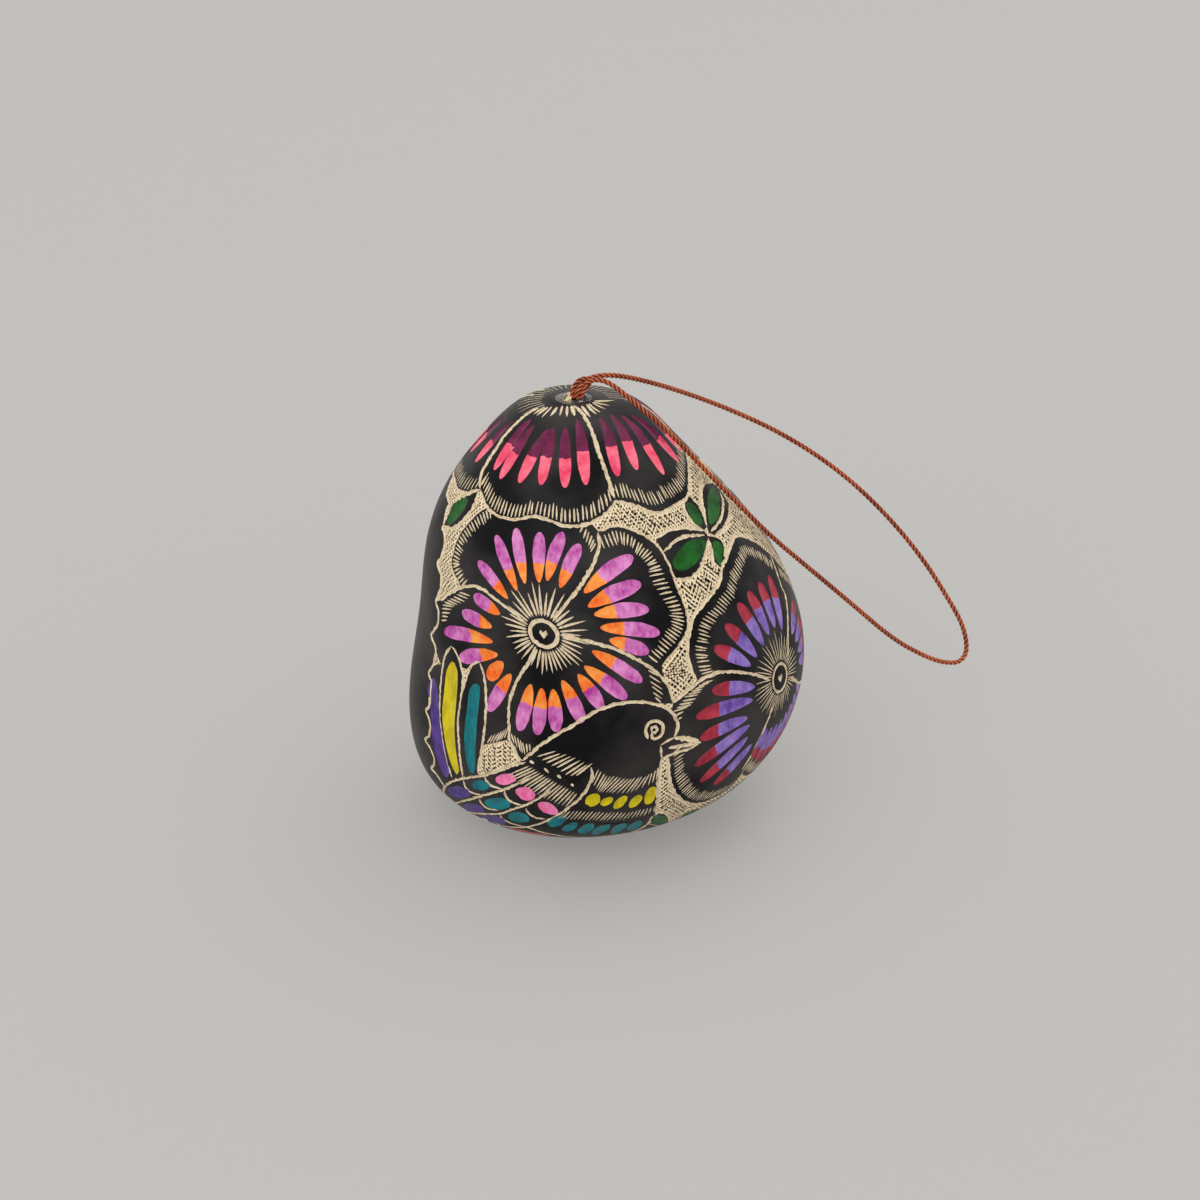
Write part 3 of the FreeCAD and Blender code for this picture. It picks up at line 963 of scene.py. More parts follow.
belly_line = ((652.9, 816.7), (645.2, 825.8), (631.4, 832.7), (613, 835.8), (587, 837.3), (567, 836.6),
              (547.2, 833.5), (531.9, 828.9), (522.6, 826))
print(len(beak_lines), "lines in the beak")

# %% The bird's wing and breast
wing_lines = (
    ((590.8, 766.9), (592.4, 775.3), (588.5, 786), (580.9, 796.8), (571.7, 805.2), (561, 812.8),
     (547.2, 820.5), (534.9, 825), (522.7, 827.4), (507.4, 826.6), (493.6, 824.3)),
    ((443, 795.2), (443.8, 789), (449.2, 783), (463, 778.4), (484.4, 775.3), (501.3, 770), (516.6, 764.6),
     (525.8, 762.3)),
    ((455.3, 803.6), (470.6, 799), (485.9, 794.5), (502.8, 789.9), (519.6, 783), (531.9, 776.8)),
    ((467.6, 813.6), (484.4, 813.9), (499.7, 813.6), (513.5, 809), (528.8, 803.6), (541, 796.8),
     (550.3, 790.6)),
    ((484.4, 775.3), (485.9, 779.9), (492, 786), (502.8, 789)),
    ((505, 789.9), (505, 794.5), (510.4, 801.3), (524.2, 806)),
    ((525.8, 808.2), (528.8, 813.6), (536.5, 817.9), (545.7, 819)),
    ((463.3, 780), (465.3, 786.8), (470.6, 792.2), (481.3, 795.2)),
    ((479.5, 799), (481.3, 803.6), (487.5, 808.2), (498.2, 810.5)),
    ((499.7, 814.4), (502.8, 819), (512, 823.6), (524.2, 826.6)),
    ((443, 795.2), (455.3, 803.6), (467.6, 813.6), (480, 820), (493.6, 824.3)),
)
wing_patches = (  # colour, middle, size, tilt
    ("soft_pink", (505.8, 779), (21, 11.5), 5), ("soft_pink", (525.8, 793.7), (21, 13), -20),
    ("soft_pink", (548, 808.2), (22, 11), -25), ("teal", (480.6, 785.3), (18, 10), -8),
    ("teal", (497.4, 803.6), (25, 12), -5), ("teal", (518.9, 817.4), (22, 10), -10),
    ("tail_purple", (459, 792.2), (22, 12), -10), ("tail_purple", (473.7, 808.2), (22, 8), -10),
    ("tail_purple", (493.6, 819.7), (26, 8), -15),
)
drops = (
    ("olive_yellow", (593, 800), (16, 12), 25), ("olive_yellow", (606.7, 801.6), (14.6, 7.4), 25),
    ("olive_yellow", (620.4, 802.2), (17, 8.4), 40), ("olive_yellow", (635.4, 801.6), (18, 8), 42),
    ("olive_yellow", (650.4, 795.8), (20, 10), 65), ("teal", (557, 821.3), (20, 10), 25),
    ("teal", (570, 827), (17, 7), 22), ("teal", (586, 828.6), (18, 8), 22),
    ("teal", (601, 829.6), (21, 7), 22), ("teal", (618.8, 828.3), (18, 7), 28),
    ("teal", (634.7, 825.8), (17, 6.4), 28),
)
stroke_rows = (
    (9, 0.32,
     ((537.4, 756.7, 556.3, 751.1), (541.4, 760.4, 560.9, 753.3), (548.3, 764.7, 569.2, 755),
      (556.3, 767.8, 576.1, 757.3), (563.8, 774.9, 583.6, 761.7), (570.1, 775.9, 587.3, 764),
      (575.8, 776, 592.5, 763.1))),
    (18, 0.30, ((530, 766, 506, 776), (545, 775, 525, 788), (560, 784, 543, 799), (577, 793, 565, 807))),
    (19, 0.24,
     ((598.7, 769, 592, 783.4), (607, 774.8, 597.4, 791), (618.2, 776.4, 601.6, 793),
      (628.4, 778.6, 611.5, 793.6), (637.6, 777, 624.5, 793.9), (645, 775.7, 633.5, 792),
      (652, 772.5, 647.8, 785.6), (657.7, 767.8, 656.4, 781.1))),
    (25, 0.21,
     ((567, 810.5, 558, 819.5), (585, 811, 577, 820), (595.2, 811.4, 587, 820.5), (612.4, 812.4, 604, 821),
      (629, 812, 622, 820), (643, 809.2, 638, 817), (649.4, 808, 645, 815.5), (655.1, 806, 653, 812.5))),
    (4, 0.42,
     ((530, 760.5, 534, 764), (542.5, 767, 547.5, 772), (559, 776, 562.5, 779.5), (571, 783.3, 574, 786.3))),
)
print(len(wing_patches), "patches on the wing and", len(drops), "drops on the breast")

# %% The tail
feather_lines = (
    ((451.3, 646), (445.9, 653.7), (442.9, 665.9), (441, 681.3), (439.5, 711.9), (441.5, 735), (445.9, 759.4),
     (452, 777.7)),
    ((451.3, 646), (456.7, 653.7), (461.3, 667.5), (462.8, 681.3), (459.7, 705.8), (457.9, 724), (459, 745.6),
     (460.5, 762.4), (463, 777.7)),
    ((479.6, 662), (475, 663), (470.4, 667.5), (465.8, 679.7), (461.3, 695)),
    ((479.6, 662), (483.5, 673.6), (485.8, 687.4), (485.8, 711.9), (483.5, 736.4), (480.4, 754.8),
     (477.8, 773.1)),
)
feather_fills = (
    ("tail_purple",
     ((431.4, 678.2), (427.6, 687.4), (429.9, 705.8), (431.4, 724), (432.9, 742.5), (437.5, 760.9),
      (444.4, 776.2), (446.7, 777.7), (449, 773), (445.9, 754.8), (442.1, 734.9), (439, 711.9),
      (437.5, 688.9), (434.5, 678.2))),
    ("olive_yellow",
     ((452, 661.3), (446.7, 670.5), (444.4, 688.9), (442.1, 711.9), (443.6, 730.3), (447.5, 751.7),
      (452.8, 768.5), (456.7, 774.7), (459, 771.6), (455.9, 750.2), (454.4, 727.2), (455.9, 705.8),
      (457.4, 685.8), (457.4, 670.5), (454.4, 662.9))),
    ("teal",
     ((475.8, 683.5), (469.7, 688.9), (466.6, 711.9), (464.3, 733.3), (465.8, 757.8), (469.7, 771.6),
      (472.7, 773.9), (475, 767), (475.8, 742.5), (477.3, 719.5), (479.6, 696.6), (479.3, 685.8))),
)
tail_area = ((441, 664), (433, 666), (428.3, 673.6), (430.6, 679), (429, 707.3), (425.3, 710.4), (429, 718),
             (430.6, 727.2), (429, 736.4), (424.5, 739.5), (430.6, 748.6), (434.5, 759.4), (434, 765.5),
             (430.6, 768.3), (436.8, 774.7), (444.4, 786.2), (456, 781), (478, 775), (483.5, 736.4),
             (485.8, 711.9), (485.8, 687.4), (483.5, 673.6), (479.6, 662), (470.4, 667.5), (464, 685),
             (461.3, 667.5), (456.7, 653.7), (451.3, 646), (445.9, 653.7))
bird_area = bird_outline + ((700, 742.2), (663, 757.6)) + throat_line[1:] + belly_line + (
    (493.6, 824.3), (480, 820), (467.6, 813.6), (455.3, 803.6), (443, 795.2), (443.8, 789), (449.2, 783),
    (463, 778.4), (484.4, 775.3), (501.3, 770), (516.6, 764.6))
coral_stripe = ((502.8, 827.4), (515, 828.5), (530, 832), (547, 834.5), (547, 838.5), (530, 837), (515, 835),
                (504, 834))
print(len(feather_fills), "dyed feathers in the tail")

# %% Drawing the bird and its tail
for pixels in (bird_area, tail_area):
    skin_area(traced(pixels))
for line in (bird_outline, throat_line, belly_line):
    cut_line(flowing(traced(line)), 0.5)
for width, line in beak_lines:
    cut_line(flowing(traced(line)), width)
for line in wing_lines + feather_lines:
    cut_line(flowing(traced(line)), 0.42)
for colour, middle, size, tilt in wing_patches + drops:
    stain_area(ellipse(middle, size, tilt), colour)
for colour, outline in feather_fills:
    stain_area(flowing(traced(outline), 0.8, closed=True), colour)
stain_area(flowing(traced(coral_stripe), 0.8, closed=True), "coral")
for count, width, keys in stroke_rows:
    stroke_row(count, width, keys)
for line in bird_eye_lines:
    cut_line(flowing(traced(line)), 0.46, (0.2, 0.2), 0.12)
print("bird:", len(drawing.places), "points")

# %% The leaves' places
lone_cells = (  # the cells of skin that hold a leaf
    ((478.4, 490.7), (466.5, 494.9), (460.2, 497), (454.5, 501.9), (451, 506), (449, 511.7), (443.3, 525.7),
     (450.3, 527.8), (456.6, 525.7), (463, 520), (469.3, 512.4), (474.9, 502.6)),
    ((655.8, 815), (662.2, 812.4), (667.3, 816.2), (668.5, 822), (660, 826), (650, 824)),
    ((676, 822), (682, 816), (690, 811.5), (697.6, 808.5), (700, 811), (692, 818), (684, 823)),
)
cluster_cells = (
    ((688.7, 496), (683.5, 503), (685.3, 509.9), (688.7, 517.3), (694.4, 524.2), (704.2, 530.5), (707, 526.5),
     (705.4, 520.2), (702.5, 512.7), (699, 505.8), (694.4, 500)),
    ((705, 484), (701.3, 494.4), (702.5, 503), (704.2, 512), (706, 525), (709, 533), (715, 535),
     (723.1, 528.8), (727.2, 521.3), (729.5, 512), (729, 504), (722, 492), (713, 483)),
    ((655.4, 539.6), (660, 535.6), (666.9, 531), (675.5, 528.7), (688, 528), (704.2, 530.5), (708.5, 537),
     (705, 552), (699, 570.4), (688.8, 578.6), (676.5, 578.6), (668, 566), (663.4, 551.8)),
    ((708, 536), (714, 536.9), (719.1, 537.4), (722.6, 541.5), (725.4, 547.8), (723.7, 555.8), (729, 563),
     (719.7, 567), (712.8, 560.4), (711.7, 548.9)),
)
lone_fills = (
    ((465, 496.3), (467.9, 500.5), (465.8, 506.8), (460.2, 515.2), (451.7, 523.6), (445.4, 526.4),
     (448.9, 517.3), (451.7, 508.9), (456, 502.6), (460.2, 498.4)),
    ((650, 817.5), (658, 815.2), (667, 817.5), (666, 822), (657, 823.8), (650.5, 822)),
    ((679, 820), (685, 815), (692, 811.5), (696.5, 810.5), (690, 816.5), (684, 820.5)),
)
cluster_fills = (
    ((687, 501.8), (694.4, 505.3), (700.2, 514.4), (702.5, 523), (699.6, 526.5), (693.9, 522.5),
     (689.9, 515.6), (687, 508.7)),
    ((711.7, 486.9), (708.2, 494.4), (707.6, 505.8), (708.2, 517.3), (710.5, 524.8), (717.4, 519),
     (719.7, 509.9), (719.7, 498.4), (716.3, 489.8)),
    ((703.6, 539.7), (692, 539.7), (683, 546), (676, 554.6), (672.3, 562.7), (674.5, 568.4), (684.7, 570.4),
     (697, 562), (705, 548)),
    ((712.8, 542), (719.7, 542), (723.7, 547.8), (722, 555.8), (727.2, 562), (719.7, 565), (716.3, 560.4),
     (713.4, 551.8)),
)
lone_lines = (
    ((478.4, 490.7), (466.5, 494.9), (460.2, 497), (454.5, 501.9), (451, 506), (449, 511.7), (443.3, 525.7)),
    ((443.3, 525.7), (450.3, 527.8), (456.6, 525.7), (463, 520), (469.3, 512.4), (474.9, 502.6),
     (478.4, 490.7)),
    ((653, 816), (656.5, 813.5), (662.5, 812.6), (667.5, 815.5), (669.8, 822.5)),
    ((669.8, 822.5), (675, 817), (684, 811.5), (697, 806.5)),
)
cluster_lines = (
    ((688.7, 496), (683.5, 503), (685.3, 509.9), (688.7, 517.3), (694.4, 524.2), (704.2, 530.5)),
    ((689.9, 495.5), (694.4, 500), (699, 505.8), (702.5, 512.7), (705.4, 520.2), (707, 526.5)),
    ((701.3, 480), (701.3, 494.4), (702.5, 503), (704.2, 512), (706, 525)),
    ((719.7, 491.5), (722.6, 498.4), (723.1, 507.6), (721.4, 516.7), (717.4, 524.2), (711, 531.7)),
    ((729, 504), (729.5, 512), (727.2, 521.3), (723.1, 528.8), (715, 535)),
    ((655.4, 539.6), (660, 535.6), (666.9, 531), (675.5, 528.7), (688, 528), (704.2, 530.5)),
    ((663.4, 551.8), (671.5, 544.3), (679, 538.6), (687.6, 536.3), (704.8, 535)),
    ((676.5, 578.6), (688.8, 578.6), (699, 570.4), (703, 562), (706, 551.8), (708.5, 539.1)),
    ((714, 536.9), (719.1, 537.4), (722.6, 541.5), (725.4, 547.8), (723.7, 555.8)),
    ((708.5, 539.1), (711.7, 548.9), (712.8, 560.4), (716.3, 568.4)),
)
print(len(lone_cells), "single leaves, and", len(cluster_cells), "in a cluster")


# %% Drawing the leaves
def draw_leaves(cells, fills, lines):
    for outline in cells:
        skin_area(traced(outline))
    for outline in fills:
        stain_area(flowing(traced(outline), 0.7, closed=True), "leaf_green")
    for line in lines:
        cut_line(flowing(traced(line)), 0.44)


draw_leaves(lone_cells, lone_fills, lone_lines)
print("with the first leaves:", len(drawing.places), "points")

# %% The scalloped border beside the black panel
border = ((453.8, 471), (453, 476), (449.6, 483.7), (446.5, 494.9), (448.2, 498.4), (449.3, 504),
          (446.8, 508.2), (443.3, 525.7), (441.6, 527.8), (444, 531.3), (444.7, 538.4), (444.4, 546.8),
          (440.5, 558.7), (436.7, 563.5), (441.2, 574.5), (440.8, 588.8), (435.4, 602), (438.8, 610.6),
          (438.3, 621.5), (436.7, 627), (430.8, 635), (434.5, 644.5), (436, 650.6), (432.9, 665.9),
          (428.3, 673.6), (430.6, 679), (429, 707.3), (425.3, 710.4), (429, 718), (430.6, 727.2),
          (429, 736.4), (424.5, 739.5), (430.6, 748.6), (434.5, 759.4), (434, 765.5), (430.6, 768.3),
          (436.8, 774.7), (444.4, 786.2), (443, 795.2))
border_line = traced(border)
cut_line(evenly(border_line, 0.5), width=0.5, taper=(0, 0.5), ragged=0.2)
drawing.mirror(field_mark, twin_bearing)
draw_leaves(cluster_cells, cluster_fills, cluster_lines)
print("with the hidden side:", len(drawing.places), "points")

# %% The right flower, seen half from the side
right_eye = seen((780.4, 678))
right_up = 90 + math.degrees(float(bearing_of(right_eye)))  # the angle on the map that points up the gourd
right_petals = (
    ((751, 666), (714, 648)), ((757, 657), (725, 625)), ((764, 646), (737.5, 603)), ((769, 635), (748, 591)),
    ((775, 628), (759, 582)), ((782, 630), (769, 575)), ((755, 687), (712, 691)), ((753, 700), (696, 717.5)),
    ((748, 717.5), (700, 739)), ((750, 725), (695, 766)), ((748, 737), (700, 782)), ((752, 744), (714, 785)),
)
hidden_right_petals = (-50, -63, -76, -89, -116, -129, -142, -155, -168, -181, -194, -207)  # degrees from up
right_dividers = (
    ((769.6, 680), (757, 675), (739, 672), (721, 672), (707, 676), (698, 682), (686, 692), (673, 703)),
    ((787.5, 660), (788, 634), (786, 598), (781, 585), (770, 554)),
    ((774, 703), (766, 725), (755, 748), (742, 770)),
)
right_upper_edge = ((697, 680.2), (693.4, 673.9), (689.8, 665), (688, 654.3), (688, 641), (689.5, 634),
                    (692.5, 618.6), (699.6, 608.8), (708.6, 598), (717.5, 585.5), (721, 574), (722.9, 565),
                    (727.2, 557), (730.6, 547), (737, 535.7), (754, 541), (768, 552))
right_lower_edge = ((738.4, 778), (732, 787), (721.4, 794.3), (707, 801.4), (696.4, 804), (685.7, 802.3),
                    (676.8, 796), (671.4, 785.4), (668.8, 772.9), (667.9, 756.8))
right_stroke_row = (
    12, 0.27,
    ((677.8, 719.4, 682.3, 716.7), (674.9, 715.3, 684.3, 710.6), (673.4, 711, 689.2, 706.3),
     (678.8, 705.5, 693.2, 702.4), (685, 696.1, 699.6, 694), (693.7, 690, 704, 687), (702, 683.5, 713, 680)),
)
hidden_right_edge = ((-34, 19.6), (-50, 20.2), (-65, 19.6), (-80, 18.6), (-95, 17.4), (-104, 16.4),
                     (-112, 17.2), (-125, 18.6), (-140, 19.2), (-155, 19.0), (-170, 18.4), (-185, 17.6),
                     (-198, 16.6), (-207, 15.7))
print(len(right_petals), "petals seen and", len(hidden_right_petals), "hidden")


# %% Drawing the right flower
def round_right_eye(degrees, reach):
    """The map's place at an angle from straight up and a distance in mm from the right flower's eye."""
    step = np.exp(1j * math.radians(right_up + degrees))
    middle = right_eye + step * reach / 2 / float(map_scale(right_eye))
    return right_eye + step * reach / float(map_scale(middle))


right_petal_finish = (petal_width, "violet", "crimson", 0.62)
petal_start, petal_end, fringe_depth = 7.6, 14.6, 3.0  # mm from the eye, and in from the flower's edge
upper = flowing(traced(right_upper_edge))
lower = flowing(traced(right_lower_edge))
hidden = flowing([round_right_eye(*spot) for spot in hidden_right_edge])
skin_area(np.concatenate([upper, hidden, lower, traced(((665, 735), (673, 703.4), (686, 692)))]))
for ends in right_petals:
    petal(*traced(ends), *right_petal_finish)
edge_angles, edge_reaches = np.array(hidden_right_edge).T
for degrees in hidden_right_petals:
    reach = min(petal_end, float(np.interp(-degrees, -edge_angles, edge_reaches)) - fringe_depth)
    petal(round_right_eye(degrees, petal_start), round_right_eye(degrees, reach), *right_petal_finish)
for line in right_dividers:
    cut_line(flowing(traced(line)))
cut_line(flowing([round_right_eye(*spot) for spot in ((-108, 3), (-112, 9), (-104, 16.4))]))
for edge in (upper, lower, hidden):
    cut_line(edge)
comb(upper, (1.1, 1.5), (2.0, 1.8), 0.66, 0.25, side=-1, centre=right_eye, pull=0.75)
comb(lower, (0.6, 0.8), (1.9, 1.7), 0.60, 0.22, side=-1, centre=right_eye, pull=0.9)
comb(hidden, (0.8, 0.8), (1.9, 1.9), 0.62, 0.28, side=-1, centre=right_eye, pull=0.9)
stroke_row(*right_stroke_row)
flower_eye(right_eye, (2.1, 2.1), 0.42)
rays(right_eye, inner=2.45, outer=6.2, count=46, width=0.19, widest=0.28)
print("right flower:", len(drawing.places), "points")

# %% [markdown]
# ### The pale ground
# Round the motifs the skin is cut away in crossed strokes, which leave small dark diamonds of skin
# standing. So the ground is one pale area, and the diamonds are set in it in staggered rows wherever no
# motif is.

# %% The field
field_bottom = ((444.4, 786.2), (470, 800), (500, 812), (560, 825), (640, 822), (656, 826), (672, 829),
                (690, 822), (712, 808), (738, 792), (757, 774))
field_top = 9.0  # mm below the hole's edge, well under the top flower
field_end = 6  # mm above the foot's edge, where the rows of diamonds stop
diamond_pitch, diamond_row = 0.86, 0.43
field_clearance = 0.34
strip_bearing = -51  # degrees: in the narrow strip beside the border the strokes nearly all run one way
strip_shares, open_shares = ((0.9, 1.3), (0.1, 0.22)), ((0.35, 0.85), (0.2, 0.8))  # of a cell, long and short
strip_slant, open_slants = -35, (-45, 45)  # degrees
woven_patch = ((482, 750.5), (487, 748), (505, 747), (511, 744.5), (519, 760.5), (500, 767), (481, 771.5))
woven_columns, woven_rows = np.arange(484, 519, 5.2), np.arange(748, 770, 4.0)  # pixels
woven_hole, woven_clearance = (1.35, 0.95), 0.3  # half a hole's size in pixels, and mm
half_field = np.concatenate([border_line, traced(field_bottom)])
other_half = mirrored(half_field, twin_bearing)
first_bearing = math.degrees(float(bearing_of(half_field[0])))
top_arc = map_place(field_top, np.radians(np.linspace(2 * twin_bearing - first_bearing, first_bearing, 60)))
field = np.concatenate([half_field, other_half[::-1], top_arc])
drawing.face([drawing.point(place) for place in field], "hatched_ground", ground_rank)
print("the field's edge has", len(field), "points")


# %% Places in rows, and which of them are free
def inside(outline, places):
    """Which places lie inside an outline: a line from one to the side crosses it an odd number of times."""
    crossed = np.zeros(len(places), bool)
    for a, b in zip(outline, np.roll(outline, -1)):
        if a.imag == b.imag:
            continue
        spans = (a.imag > places.imag) != (b.imag > places.imag)
        crossing = a.real + (places.imag - a.imag) * (b.real - a.real) / (b.imag - a.imag)
        crossed ^= spans & (places.real < crossing)
    return crossed


def rows_of_places(start, end, row, pitch):
    """Places in staggered rows round the gourd, row mm apart down its side and pitch mm apart round it."""
    found = []
    for i, down_side in enumerate(np.arange(start, end, row)):
        count = max(6, round(2 * math.pi * float(np.interp(down_side, form_t, form_r)) / pitch))
        found.append(map_place(down_side, 2 * math.pi * (np.arange(count) + i % 2 / 2) / count))
    return np.concatenate(found)


def clear_of(tree, places, distance):
    """Which places are more than a distance in mm from every place of a tree."""
    return np.array([tree.find(spot)[2] > distance for spot in on_gourd(places)[0]], bool)


# %% The diamonds
diamonds = rows_of_places(field_top, form_t[-1] - field_end, diamond_row, diamond_pitch)
print(len(diamonds), "places in rows")
woven_area = traced(woven_patch)
open_ground = inside(field, diamonds) & ~inside(woven_area, diamonds)
for area in drawing.skin_areas:
    open_ground &= ~inside(area, diamonds)
diamonds = diamonds[open_ground]
drawn = search_tree(on_gourd(np.array(drawing.places))[0])
diamonds = diamonds[clear_of(drawn, diamonds, field_clearance)]
cell = diamond_pitch / math.sqrt(2) / 2  # half the distance between strokes
for place in diamonds:
    down_step = place / abs(place) / float(map_scale(place))
    place += down_step * complex(hand.gauss(0, 0.04), hand.gauss(0, 0.04))
    bearing = math.degrees(float(bearing_of(place)))
    in_strip = bearing < strip_bearing or bearing > 2 * twin_bearing - strip_bearing
    long, short = (cell * hand.uniform(*limits) for limits in (strip_shares if in_strip else open_shares))
    slant = down_step * np.exp(1j * math.radians(strip_slant if in_strip else hand.choice(open_slants)))
    corners = [drawing.point(place + slant * complex(u * long, v * short))
               for u, v in ((1, 1), (-1, 1), (-1, -1), (1, -1))]
    drawing.face(corners, "black_skin", island_rank)
for x in woven_columns:
    for y in woven_rows:
        spot = np.array([seen((x, y))])
        if inside(woven_area, spot)[0] and clear_of(drawn, spot, woven_clearance)[0]:
            w, h = (half * hand.uniform(0.6, 1.15) for half in woven_hole)
            drawing.face([drawing.point(seen((x + u * w, y + v * h)))
                          for u, v in ((-1, -1), (-1, 1), (1, 1), (1, -1))], "black_skin", island_rank)
print(len(diamonds), "diamonds of skin in the ground")

# %% [markdown]
# ### From the map to the mesh
# Blender's constrained triangulation takes points, edges and faces and returns triangles that keep every
# edge, and says for each triangle which faces it lies in. The shell's inside and its drilled hole are kept
# from the CAD model.

# %% The inside of the shell, from the CAD
skin_tolerance, hole_tolerance, flat_tolerance = 0.35, 0.3, 0.02  # mm
merge_distance = 1e-7  # m
inner = bmesh.new()
inner.from_mesh(shell.data)
bmesh.ops.remove_doubles(inner, verts=inner.verts, dist=merge_distance)


def is_outside(face):
    """Whether a face of the CAD shell is on its outer side: on the skin, the stem scar or the foot."""
    x, y, z = face.calc_center_median() / mm
    from_hole = math.hypot(x - hole_place[0], y - hole_place[1])
    if z > crown_height - flat_tolerance:
        return from_hole > hole_radius
    if z < flat_tolerance:
        return True
    girth, middle = (np.interp(down_at(z), form_t, values) for values in (form_r, form_x))
    return girth - math.hypot(x - middle, y) < skin_tolerance and from_hole > hole_radius + hole_tolerance


def hole_bearing(vert):
    """The bearing of a point of the hole's edge as seen from the hole's middle."""
    return math.atan2(vert.co.x / mm - hole_place[0], -(vert.co.y / mm - hole_place[1]))


outer_faces = [face for face in inner.faces if is_outside(face)]
bmesh.ops.delete(inner, geom=outer_faces, context="FACES")
hole_verts = [v for v in inner.verts if any(e.is_boundary for e in v.link_edges)]
print("inside of the shell:", len(inner.faces), "faces, hole edge of", len(hole_verts), "points")

# %% Triangulating the drawing
fill_pitch, fill_clearance, foot_points = 1.1, 0.6, 72
fill_margin, row_share = 0.5, 0.87  # mm from the hole and the foot, and the rows' share of the pitch
inside_faces, merge_reach = 1, 1e-6  # which triangles are kept, and how near on the map points are one
hole_ring = [drawing.point(map_place(0, bearing)) for bearing in sorted(map(hole_bearing, hole_verts))]
foot_ring = [drawing.point(map_place(form_t[-1], bearing))
             for bearing in np.linspace(0, 2 * math.pi, foot_points + 1)[:-1]]
drawing.face(foot_ring, "black_skin", outside_rank)
drawing.face(hole_ring, None, hole_mark)
fill = rows_of_places(fill_margin, form_t[-1] - fill_margin, fill_pitch * row_share, fill_pitch)
fill = fill[clear_of(search_tree(on_gourd(np.array(drawing.places))[0]), fill, fill_clearance)]
for place in fill:
    drawing.point(place)
drawn_places = [Vector((place.real, place.imag)) for place in drawing.places]
made_places, _, made_faces, source_points, _, source_faces = delaunay_2d_cdt(
    drawn_places, [], [corners for corners, _, _ in drawing.faces], inside_faces, merge_reach, True)
hole_face = len(drawing.faces) - 1
print(len(made_places), "points,", len(made_faces), "triangles on the map")

# %% The colour of each triangle
spill_limit = 300  # a small face that fills more triangles than this has spilled over its edge
ranks = [rank for _, _, rank in drawing.faces]
map_spots = np.array([complex(*spot) for spot in made_places])
middles = map_spots[np.array(made_faces)].mean(1)
filled = Counter(source for sources in source_faces for source in sources)
spilled = {source: inside(np.array([drawing.places[c] for c in drawing.faces[source][0]]), middles)
           for source, count in filled.items() if count > spill_limit and ranks[source] > skin_rank}
triangles, triangle_colours = [], []
for i, (corners, sources) in enumerate(zip(made_faces, source_faces)):
    sources = [source for source in sources if source not in spilled or spilled[source][i]]
    if hole_face in sources or not sources:
        continue
    top = max(sources, key=lambda source: ranks[source])
    triangles.append(corners)
    triangle_colours.append(colours.index(drawing.faces[top][1]))
print(len(spilled), "spilled faces held back,", len(triangles), "triangles kept")

# %% Depths
crossing_depth = -0.14  # mm, where cuts cross and no point has a depth of its own
touches_skin = np.zeros(len(made_places), bool)
for corners, colour in zip(triangles, triangle_colours):
    if colour == 0:
        touches_skin[corners] = True
depths = np.array([min([drawing.depths[s] for s in sources], default=0.0) for sources in source_points])
depths[(depths == 0) & ~touches_skin] = crossing_depth
depths[touches_skin] = 0
spots = on_gourd(map_spots, depths)[0]
print("deepest cut", round(-depths.min(), 2), "mm")

# %% The skin's mesh
black_wall_depth = 1.5  # mm: how far down from its top the drilled hole's wall is black like the skin
rim_tolerance, foot_tolerance = 0.05 * mm, 0.1 * mm
skin_data = bpy.data.meshes.new("carved_skin")
skin_data.from_pydata([tuple(spot * mm) for spot in spots], [], triangles)
skin_data.polygons.foreach_set("material_index", triangle_colours)
whole = bmesh.new()
whole.from_mesh(skin_data)
outer_layer = whole.faces.layers.int.new("outer")
map_x, map_y = (whole.verts.layers.float.new(name) for name in ("map_x", "map_y"))
for face in whole.faces:
    face[outer_layer] = 1
for vert, place in zip(whole.verts, map_spots):
    vert[map_x], vert[map_y] = place.real, place.imag
foot_edges = [e for e in whole.edges if e.is_boundary and max(v.co.z for v in e.verts) < foot_tolerance]
foot = bmesh.ops.contextual_create(whole, geom=foot_edges)["faces"]
for edge in foot_edges:
    edge.smooth = False
inner_data = bpy.data.meshes.new("inside")
inner.to_mesh(inner_data)
inner.free()
outside_count = len(whole.faces)
whole.from_mesh(inner_data)
whole.faces.ensure_lookup_table()
for face in whole.faces[outside_count:]:
    in_black_wall = face.calc_center_median().z > (crown_height - black_wall_depth) * mm
    face.material_index = colours.index("black_skin" if in_black_wall else "pale_wood")
rim = [v for v in whole.verts if any(e.is_boundary for e in v.link_edges)]
bmesh.ops.remove_doubles(whole, verts=rim, dist=rim_tolerance)
for edge in whole.edges:
    if len({face.material_index for face in edge.link_faces}) > 1:
        edge.smooth = False
for face in whole.faces:
    face.smooth = True
print("skin:", len(whole.verts), "points,", len(whole.faces), "faces,",
      sum(e.is_boundary for e in whole.edges), "open edges after", len(rim), "on the rims")

# %% The map for its finish
panel_bearing = math.radians(twin_bearing + 180)
skin_low, skin_high, skin_left, skin_span = 0.06, 0.995, 0.01, 0.955  # where the skin lies on the map
foot_middle, foot_half = (0.95, 0.025), 0.02
inside_corner, inside_size = (0.005, 0.002), (0.85, 0.05)
bake_map = whole.loops.layers.uv.new("OFBake")


def turns_round(bearings):
    """How far round from the black panel bearings are, as shares of a turn with no jump between them."""
    turns = [((bearing - panel_bearing) / (2 * math.pi)) % 1 for bearing in bearings]
    if max(turns) - min(turns) > 0.5:
        turns = [turn + 1 if turn < 0.5 else turn for turn in turns]
    return turns


